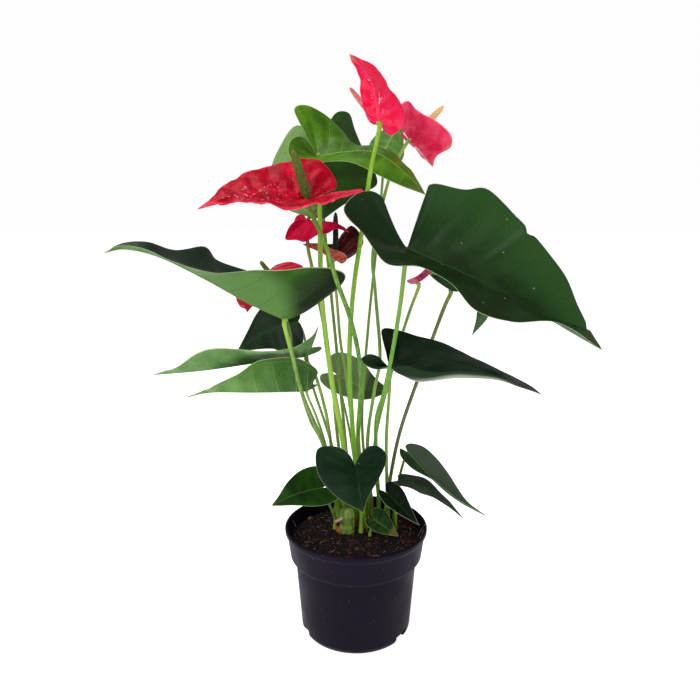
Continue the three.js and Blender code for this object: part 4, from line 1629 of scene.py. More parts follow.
@dataclass(frozen=True)
class Pot:
    """The moulded nursery pot, in mm."""

    height: float = 101.0
    rim_radius: float = 65.0
    lip: float = 2.4
    collar_foot: float = 73.0
    collar_radius: float = 60.0
    neck_height: float = 70.5
    neck_radius: float = 55.6
    foot_height: float = 4.0
    base_radius: float = 50.4
    foot_radius: float = 47.6
    ring_radius: float = 43.0
    underside: float = 2.2
    boss_radius: float = 12.0
    wall: float = 1.4
    floor: float = 3.6
    segments: int = 192
    notch_width: float = 16.0
    notch_height: float = 8.5
    notch_depth: float = 12.0
    notch_round: float = 1.2
    notch_angles: tuple[float, ...] = (-35.0, -157.0, 85.0)
    drain_radius: float = 4.0
    drain_ring: float = 28.0
    drain_count: int = 6
    sharp_angle: float = 38.0

    def wall_radius(self, z: float, inset: float = 0.0) -> float:
        """Radius of the wall.

        Args:
            z: Height above the underside.
            inset: How far in from the outside.

        Returns:
            The radius there.
        """
        heights = (self.foot_height, self.neck_height, self.collar_foot, self.height)
        top = self.rim_radius - self.lip / 2
        radii = (self.base_radius, self.neck_radius, self.collar_radius, top)
        return float(np.interp(z, heights, radii)) - inset

    def profile(self) -> Points:
        """Section of the pot, up the outside and down the inside.

        Returns:
            (radius, height, fillet) of each corner.
        """
        rim, lip, top = self.rim_radius, self.lip, self.height
        inner = self.wall
        return (
            (0, 0, 0),
            (self.boss_radius, 0, 0.5),
            (self.boss_radius + self.underside, self.underside, 0.6),
            (self.ring_radius - self.underside, self.underside, 0.6),
            (self.ring_radius, 0, 0.4),
            (self.foot_radius, 0, 0.8),
            (self.base_radius, self.foot_height, 2.0),
            (self.neck_radius, self.neck_height, 1.6),
            (self.collar_radius, self.collar_foot, 1.2),
            (self.wall_radius(top - 2.6 * lip), top - 2.6 * lip, 1.2),
            (rim - 0.2, top - 1.9 * lip, 0.8),
            (rim, top - 0.45 * lip, 0.7),
            (rim - lip / 3, top, 0.8),
            (rim - lip, top - 0.1, 0.7),
            (self.wall_radius(top - 2 * lip, inner), top - 2 * lip, 1.0),
            (self.wall_radius(self.collar_foot, inner), self.collar_foot, 1.2),
            (self.wall_radius(self.neck_height, inner), self.neck_height, 1.2),
            (self.wall_radius(self.floor + inner, inner), self.floor + inner, 1.0),
            (self.wall_radius(self.floor, 2 * inner), self.floor, 0.6),
            (0, self.floor, 0),
        )

    @staticmethod
    def rounded(corners: Points, steps: int = 4) -> Points:
        """Round the corners of a profile.

        Args:
            corners: (radius, height, fillet) of each corner.
            steps: Straight pieces in each fillet.

        Returns:
            (radius, height) pairs, with a support point beside each fillet.
        """
        done: list[Point] = [corners[0][:2]]
        for before, corner, after in zip(corners, corners[1:], corners[2:]):
            spot = np.array(corner[:2])
            back, ahead = np.array(before[:2]) - spot, np.array(after[:2]) - spot
            legs = [np.linalg.norm(back), np.linalg.norm(ahead)]
            reach = min(corner[2], 0.38 * min(legs))
            start, end = spot + back / legs[0] * reach, spot + ahead / legs[1] * reach
            outer = min(1.3 * reach, 0.45 * min(legs))
            done.append(tuple(spot + back / legs[0] * outer))
            for share in np.linspace(0, 1, steps + 1):
                low, high = start + (spot - start) * share, spot + (end - spot) * share
                done.append(tuple(low + (high - low) * share))
            done.append(tuple(spot + ahead / legs[1] * outer))
        return (*done, corners[-1][:2])

    def cutters(self) -> Mesh:
        """The foot notches and drain holes.

        Returns:
            Closed solids in one mesh, in metres.
        """
        shapes = bmesh.new()
        size = Matrix.Diagonal((self.notch_depth, self.notch_width, 2 * self.notch_height, 1))
        push = Matrix.Translation((self.foot_radius + 0.7, 0, 0))
        for degrees in self.notch_angles:
            place = Matrix.Rotation(math.radians(degrees), 4, "Z") @ push
            box = bmesh.ops.create_cube(shapes, size=1, matrix=place @ size)
            edges = list(dict.fromkeys(e for corner in box["verts"] for e in corner.link_edges))
            bmesh.ops.bevel(
                shapes, geom=edges, offset=self.notch_round, segments=3, affect="EDGES",
                profile=0.5,
            )
        push = Matrix.Translation((self.drain_ring, 0, 0))
        for i in range(self.drain_count):
            turn = Matrix.Rotation(FULL_TURN * i / self.drain_count, 4, "Z")
            bmesh.ops.create_cone(
                shapes, cap_ends=True, segments=28, radius1=self.drain_radius,
                radius2=self.drain_radius, depth=4 * self.floor, matrix=turn @ push,
            )
        mesh = bpy.data.meshes.new("pot_cutters")
        shapes.to_mesh(mesh)
        shapes.free()
        mesh.transform(Matrix.Scale(MM, 4))
        return mesh

    def build(self) -> None:
        """Build, dress and place the pot."""
        shell = lathe("pot_shell_skin", self.rounded(self.profile()), self.segments)
        holder, cutter = new_object("pot_holder", shell), new_object("pot_cutter", self.cutters())
        cut = holder.modifiers.new("holes", "BOOLEAN")
        cut.operation, cut.solver, cut.object = "DIFFERENCE", "EXACT", cutter
        graph = bpy.context.evaluated_depsgraph_get()
        mesh = bpy.data.meshes.new_from_object(holder.evaluated_get(graph))
        for item in (holder, cutter):
            bpy.data.objects.remove(item)
        mesh.name = "pot_shell_skin"
        mesh.materials.clear()
        mesh.materials.append(MouldedFinish().material())
        mesh.polygons.foreach_set("use_smooth", [True] * len(mesh.polygons))
        mesh.set_sharp_from_angle(angle=math.radians(self.sharp_angle))
        place_piece("pot_shell", mesh, "pot")


@dataclass(frozen=True)
class Soil:
    """The peat in the pot with its crumbs and fibres, in mm."""

    pot: Pot
    top: float = 90.0
    flat_radius: float = 50.0
    edge_drop: float = 2.4
    gap: float = 0.3
    rings: int = 34
    segments: int = 120
    lump: float = 1.5

    def surface(self, radius: float, angle: float) -> tuple[float, float, float]:
        """A point of the uneven top.

        Args:
            radius: Distance from the axis.
            angle: Angle round the axis.

        Returns:
            The point.
        """
        x, y = radius * math.cos(angle), radius * math.sin(angle)
        drop = float(smooth(np.array(radius), self.flat_radius, self.pot.wall_radius(self.top)))
        coarse = noise.noise(Vector((x / 17, y / 17, 3.1)))
        fine = noise.noise(Vector((x / 4.2, y / 4.2, 7.7)))
        lift = (0.9 * coarse + 0.5 * fine) * self.lump
        return x, y, self.top - self.edge_drop * drop + lift

    def body(self) -> tuple[Mesh, Mesh]:
        """Make the soil.

        Returns:
            The closed block, and its top alone for what lies on it.
        """
        floor = self.pot.floor + self.gap
        inset = self.pot.wall + self.gap
        edge = self.pot.wall_radius(self.top, inset)
        radii = [edge * (i / self.rings) ** 0.85 for i in range(1, self.rings + 1)]
        angles = [FULL_TURN * i / self.segments for i in range(self.segments)]
        vertices = [self.surface(0, 0)]
        for radius in radii:
            vertices += [self.surface(radius, angle) for angle in angles]
        count = self.segments
        faces: Faces = [[0, 1 + i, 1 + (i + 1) % count] for i in range(count)]
        for ring in range(self.rings - 1):
            faces += band(1 + ring * count, 1 + (ring + 1) * count, count)
        top = mesh_from("soil_top", np.array(vertices), faces)
        last = 1 + (self.rings - 1) * count
        for height in (self.pot.collar_foot, self.pot.neck_height, floor + self.pot.wall, floor):
            radius = self.pot.wall_radius(height, inset + (self.pot.wall if height == floor else 0))
            first = len(vertices)
            vertices += [(radius * math.cos(a), radius * math.sin(a), height) for a in angles]
            faces += band(last, first, count)
            last = first
        faces.append([last + i for i in reversed(range(count))])
        return mesh_from("soil_block_skin", np.array(vertices), faces), top

    def build(self) -> None:
        """Build, dress and place the soil."""
        block, top = self.body()
        block.materials.append(PEAT.material())
        place_piece("soil_block", block, "soil")
        area = math.pi * (self.pot.wall_radius(self.top) * MM) ** 2
        crumbs, fibres = CrumbGrower(), FibreGrower()
        layers = (
            ("soil_crumbs", CRUMB, 2600, 0.5, 2.1),
            ("soil_specks", SPECK, 420, 0.25, 0.75),
            ("soil_bark", BARK, 110, 1.0, 3.2),
        )
        for step, (name, finish, count, small, large) in enumerate(layers):
            mesh = crumbs.grow(
                f"{name}_skin", top, Density=count / area, Smallest=small * MM, Largest=large * MM,
                Seed=SEED + step, Material=finish.material(),
            )
            place_piece(name, mesh)
        mesh = fibres.grow(
            "soil_fibres_skin", top, Density=330 / area, Shortest=2 * MM, Longest=7.5 * MM,
            Thickness=0.045, Seed=SEED + 7, Material=FIBRE.material(),
        )
        place_piece("soil_fibres", mesh)


@dataclass(frozen=True)
class Crown:
    """The thick green stump at soil level with its cut stub, in mm."""

    x: float = -8.0
    y: float = 7.0
    soil: float = 89.0
    height: float = 24.0
    radius: float = 7.0
    scars: tuple[float, ...] = (6.0, 11.5, 17.5)
    stub_radius: float = 1.6
    stub_length: float = 14.0
    stub_up: float = 17.5
    stub_lean: Point = (-0.86, -0.42, -0.3)

    def trunk(self) -> Mesh:
        """The stump with its ring scars.

        Returns:
            The stump's mesh.
        """
        profile: list[Point] = [(0, 0)]
        for z in np.linspace(0, self.height, 56):
            share = z / self.height
            dome = math.sqrt(max(0.0, 1 - max(0, share - 0.8) ** 2 * 14))
            swell = self.radius * (1.04 - 0.1 * share) * dome
            ring = sum(0.3 * math.exp(-(((z - s) / 0.9) ** 2)) for s in self.scars)
            profile.append((swell + ring, z))
        profile.append((0, self.height + 0.2))
        mesh = lathe("crown_trunk", tuple(profile), 40)
        for vertex in mesh.vertices:
            place = vertex.co / MM
            push = noise.noise(place / 6) * 0.6 + noise.noise(place / 2.2) * 0.08
            side = Vector((place.x, place.y, 0))
            if side.length > 0.5:
                vertex.co += side.normalized() * push * MM
        mesh.transform(Matrix.Translation(Vector((self.x, self.y, self.soil)) * MM))
        mesh.materials.append(CROWN_SKIN.material())
        return mesh

    def stub(self) -> Mesh:
        """The pale cut stalk that leans out to the left.

        Returns:
            The stub's mesh.
        """
        r, length = self.stub_radius, self.stub_length
        profile = (
            (0, 0), (r * 1.2, 0), (r * 1.05, 2), (r, length * 0.6), (r * 0.98, length - 0.5),
            (r * 0.85, length), (r * 0.5, length - 0.35), (0, length - 0.5),
        )
        mesh = lathe("crown_stub", profile, 20)
        lean = Vector(self.stub_lean).to_track_quat("Z", "Y").to_matrix().to_4x4()
        place = Vector((self.x, self.y - 2, self.soil + self.stub_up)) * MM
        mesh.transform(Matrix.Translation(place) @ lean)
        mesh.materials.append(STUB_SKIN.material())
        return mesh

    def build(self) -> None:
        """Build, dress and place the crown."""
        mesh = joined("crown_skin", [self.trunk(), self.stub()])
        place_piece("crown_stump", mesh, "crown")


@dataclass(frozen=True)
class Sheath:
    """A torn papery sheath round the foot of old stalks, in mm."""

    name: str
    x: float
    y: float
    height: float
    radius: float
    opening: float
    facing: float
    lean: float = 0.0
    soil: float = 88.5
    thickness: float = 0.35
    columns: int = 26
    rows: int = 18

    def mesh(self) -> Mesh:
        """The sheath with its ragged top.

        Returns:
            The sheath's mesh.
        """
        rows, columns = self.rows + 1, self.columns + 1
        vertices = [
            self.point(i / self.rows, j, side)
            for side in (1, -1) for i in range(rows) for j in range(columns)
        ]
        faces = sheet_faces(np.arange(rows * columns).reshape(rows, columns))
        shell, rim = shell_faces(faces, rows * columns)
        mesh = mesh_from(self.name, np.array(vertices), shell + rim)
        mesh.materials.append(SHEATH_SKIN.material())
        return mesh

    def point(self, share: float, column: int, side: int) -> Point:
        """A point of the sheath's wall.

        Args:
            share: Share of the way up.
            column: Column round the stalks.
            side: 1 outside, -1 inside.

        Returns:
            The point.
        """
        angle = self.facing + self.opening / 2 + (FULL_TURN - self.opening) * column / self.columns
        torn = 0.62 + 0.38 * abs(math.sin(2.3 * column / self.columns * math.pi + 0.8))
        torn *= 0.9 + 0.2 * noise.noise(Vector((column * 0.9, self.x, 0)))
        z = self.height * share * torn
        spot = Vector((3 * math.cos(angle), 3 * math.sin(angle), share * 3))
        crumple = 0.5 * noise.noise(spot)
        radius = self.radius * (1 - 0.25 * share) + crumple + side * self.thickness / 2
        east, north = radius * math.cos(angle), radius * math.sin(angle)
        return self.x + east + self.lean * z, self.y + north, self.soil + z


@dataclass(frozen=True)
class Roots:
    """Fine hair roots that stray over the rim, as knots of thin lines in mm."""

    strands: tuple[Points, ...]
    radius: float = 0.16
    step: float = 1.2

    def build(self, grower: StalkGrower) -> None:
        """Build, dress and place the strands.

        Args:
            grower: What grows them.
        """
        meshes = []
        for i, knots in enumerate(self.strands):
            line = line_from(f"strand_{i}", Curve(knots).evenly(self.step))
            meshes.append(grower.grow(
                f"strand_{i}_skin", line, Radius=self.radius * MM, Taper=0.5, Flare=0.0,
                Flare_Length=MM, Swell=0.0, Swell_Length=MM, Sides=5,
                Material=ROOT_SKIN.material(),
            ))
        place_piece("stray_roots", joined("stray_roots_skin", meshes))


@dataclass(frozen=True)
class SoftLight:
    """A soft rectangular light in metres and watts, hung at place to face target."""

    name: str
    place: Point
    target: Point
    size: Point
    power: float

    def build(self) -> None:
        """Hang the light."""
        data = bpy.data.lights.new(self.name, "AREA")
        data.shape = "RECTANGLE"
        data.size, data.size_y = self.size
        data.energy = self.power
        lamp = new_object(self.name, data)
        lamp.location = self.place
        aim = Vector(self.target) - Vector(self.place)
        lamp.rotation_euler = aim.to_track_quat("-Z", "Y").to_euler()


@dataclass(frozen=True)
class Studio:
    """Pale paper floor, soft lights and the camera; lengths in metres."""

    floor_radius: float = 9.0
    floor_drop: float = 0.0004
    lights: tuple[SoftLight, ...] = (
        SoftLight("overhead", (-0.6, -0.1, 1.9), (0, 0, 0.1), (1.4, 1.4), 20),
        SoftLight("left_front", (-1.2, -1.6, 1.1), (0, 0, 0.25), (1.1, 1.1), 20),
        SoftLight("right_front", (1.5, -1.3, 0.8), (0, 0, 0.25), (0.9, 1.2), 10),
    )
    camera_place: Point = (-0.0055, -0.596, 0.392)
    camera_pitch: float = 12.1
    lens: float = 36.0
    sensor: float = 36.0
    ambient: float = 0.25
    backdrop: float = 0.99

    def floor(self) -> None:
        """Lay the seamless floor."""
        mesh = lathe("studio_floor_skin", ((0, 0), (400, 0), (self.floor_radius / MM, 0)), 64)
        mesh.flip_normals()
        mesh.transform(Matrix.Translation((0, 0, -self.floor_drop)))
        mesh.materials.append(PaperFloorFinish().material())
        new_object("studio_floor", mesh)

    def surround(self) -> None:
        """Make the pale surround: bright behind the plant, dimmer as a light source."""
        world = bpy.data.worlds.new("studio_air")
        world.use_nodes = True
        nodes = NodeTree(world.node_tree)
        nodes.tree.nodes.clear()
        seen = nodes.add("ShaderNodeLightPath").outputs["Is Camera Ray"]
        span = self.backdrop - self.ambient
        strength = nodes.math("MULTIPLY_ADD", seen, span, self.ambient)
        inputs = {"Color": (1, 1, 1, 1), "Strength": strength}
        air = nodes.out("ShaderNodeBackground", inputs)
        nodes.add("ShaderNodeOutputWorld", {"Surface": air})
        bpy.context.scene.world = world

    def camera(self) -> None:
        """Set up the camera."""
        data = bpy.data.cameras.new("studio_camera")
        data.lens, data.sensor_width = self.lens, self.sensor
        data.clip_start, data.clip_end = 0.01, 60
        camera = new_object("studio_camera", data)
        camera.location = self.camera_place
        camera.rotation_euler = (math.radians(90 - self.camera_pitch), 0, 0)
        bpy.context.scene.camera = camera

    def build(self) -> None:
        """Set up the studio."""
        self.floor()
        self.surround()
        for light in self.lights:
            light.build()
        self.camera()
        view = bpy.context.scene.view_settings
        view.view_transform, view.look, view.exposure = "Standard", "None", 0.0


# --------------------------------------------------------------------------- finishes chosen
DARK: Skins = (
    LaminaFinish(
        "dark_leaf_upper", "#0c2410", "#173314", "#2f4f26", "#a9b892", "#3c4630",
        vein_strength=0.16, rib_strength=0.45, edge_width=0.55, shine=0.1, gloss=0.02,
        specks=0.25,
    ),
    LaminaFinish(
        "dark_leaf_under", "#2c4a24", "#3f6230", "#7d9a5c", "#a4b87e", "#5c684c",
        vein_strength=0.4, raised=0.4, roughness=0.5, shine=0.15, gloss=0.02,
    ),
)
MID: Skins = (
    LaminaFinish(
        "mid_leaf_upper", "#1c3d12", "#33661c", "#5a8238", "#a0b878", "#6d7748",
        vein_strength=0.25, shine=0.15, gloss=0.03,
    ),
    LaminaFinish(
        "mid_leaf_under", "#4d7c30", "#6f9e42", "#a2bf70", "#b9cf92", "#7d8668",
        vein_strength=0.5, raised=0.4, roughness=0.5, shine=0.2, gloss=0.03, glow=0.2,
    ),
)
BRIGHT: Skins = (
    LaminaFinish(
        "bright_leaf_upper", "#4a7a14", "#74a422", "#a0c050", "#b8cf86", "#7d8a3e",
        vein_strength=0.3, shine=0.2, glow=0.2,
    ),
    LaminaFinish(
        "bright_leaf_under", "#6a9c34", "#8cba4c", "#b4cf7c", "#c6da9c", "#868d78",
        vein_strength=0.45, raised=0.4, roughness=0.5, shine=0.2, gloss=0.03, glow=0.25,
    ),
)
LEAF_TONES = {Tone.DARK: DARK, Tone.MID: MID, Tone.BRIGHT: BRIGHT}

RED: Skins = (
    LaminaFinish(
        "red_spathe_upper", "#cc0622", "#f00c30", "#80081a", "#f83c5c", "#e0304c",
        vein_strength=0.2, rib_strength=0.3, edge_width=0.9, edge_strength=0.5, roughness=0.22,
        shine=0.2, gloss=0.16, glow=0.12, mottle=14,
    ),
    LaminaFinish(
        "red_spathe_under", "#ff0844", "#ff1c5c", "#ff4070", "#f87090", "#c87860",
        vein_strength=0.2, roughness=0.25, shine=0.15, gloss=0.3, raised=0.3, glow=0.1,
        mottle=14,
    ),
)
ROSE: Skins = (
    replace(RED[0], name="rose_spathe_upper", deep="#c41232", light="#e03050"),
    replace(RED[1], name="rose_spathe_under", deep="#d81a44", light="#fa5078"),
)
# A darker copy of the red spathe: its dark upper face is painted shade for a cupped interior.
SHADED_MAROON: Skins = (
    replace(
        RED[0], name="maroon_spathe_upper", deep="#3c0a16", light="#661024", edge="#a03048",
        gloss=0.5,
    ),
    replace(RED[1], name="maroon_spathe_under", deep="#6a1626", light="#8e2a3c"),
)
BLOOM_TONES = {Bloom.RED: RED, Bloom.ROSE: ROSE, Bloom.SHADED_MAROON: SHADED_MAROON}
SPIKE_SKINS = {
    Spike.PINK: SpadixFinish("pink_spadix_skin", "#d88a80", "#d8606e", "#e8a090"),
    Spike.YELLOW: SpadixFinish("yellow_spadix_skin", "#d8b074", "#e4b878", "#eed2a4"),
    Spike.DARK: SpadixFinish("dark_spadix_skin", "#20281c", "#182018", "#3c4a30"),
    Spike.GREEN: SpadixFinish("green_spadix_skin", "#4a5a1c", "#5c6a22", "#7c8838"),
}

PEAT = PeatFinish("peat_block", "#0c0608", "#221014", "#4c3436", "#321014")
CRUMB = PeatFinish("peat_crumb", "#10060a", "#281118", "#54363c", "#401019", light_share=0.12)
SPECK = PeatFinish("peat_speck", "#5a3c34", "#8a6a60", "#c9b0a6", "#8a4a48", light_share=0.5)
BARK = PeatFinish("peat_bark", "#24120e", "#4e2c20", "#7c5440", "#5a2420", light_share=0.3)
FIBRE = PeatFinish("peat_fibre", "#3a2018", "#6a4430", "#b08c74", "#7a3028", light_share=0.35)
CROWN_SKIN = PaperyFinish("crown_skin", "#64882f", "#3c5a22", "#97b04f", roughness=0.5, streak=3.2)
STUB_SKIN = PaperyFinish("stub_skin", "#c49a8c", "#94625c", "#e6c8bc", roughness=0.6)
SHEATH_SKIN = PaperyFinish("sheath_skin", "#a4521f", "#4a1d14", "#c87a3a")
ROOT_SKIN = PaperyFinish("root_skin", "#b8aa98", "#8a7868", "#d8d0c4")


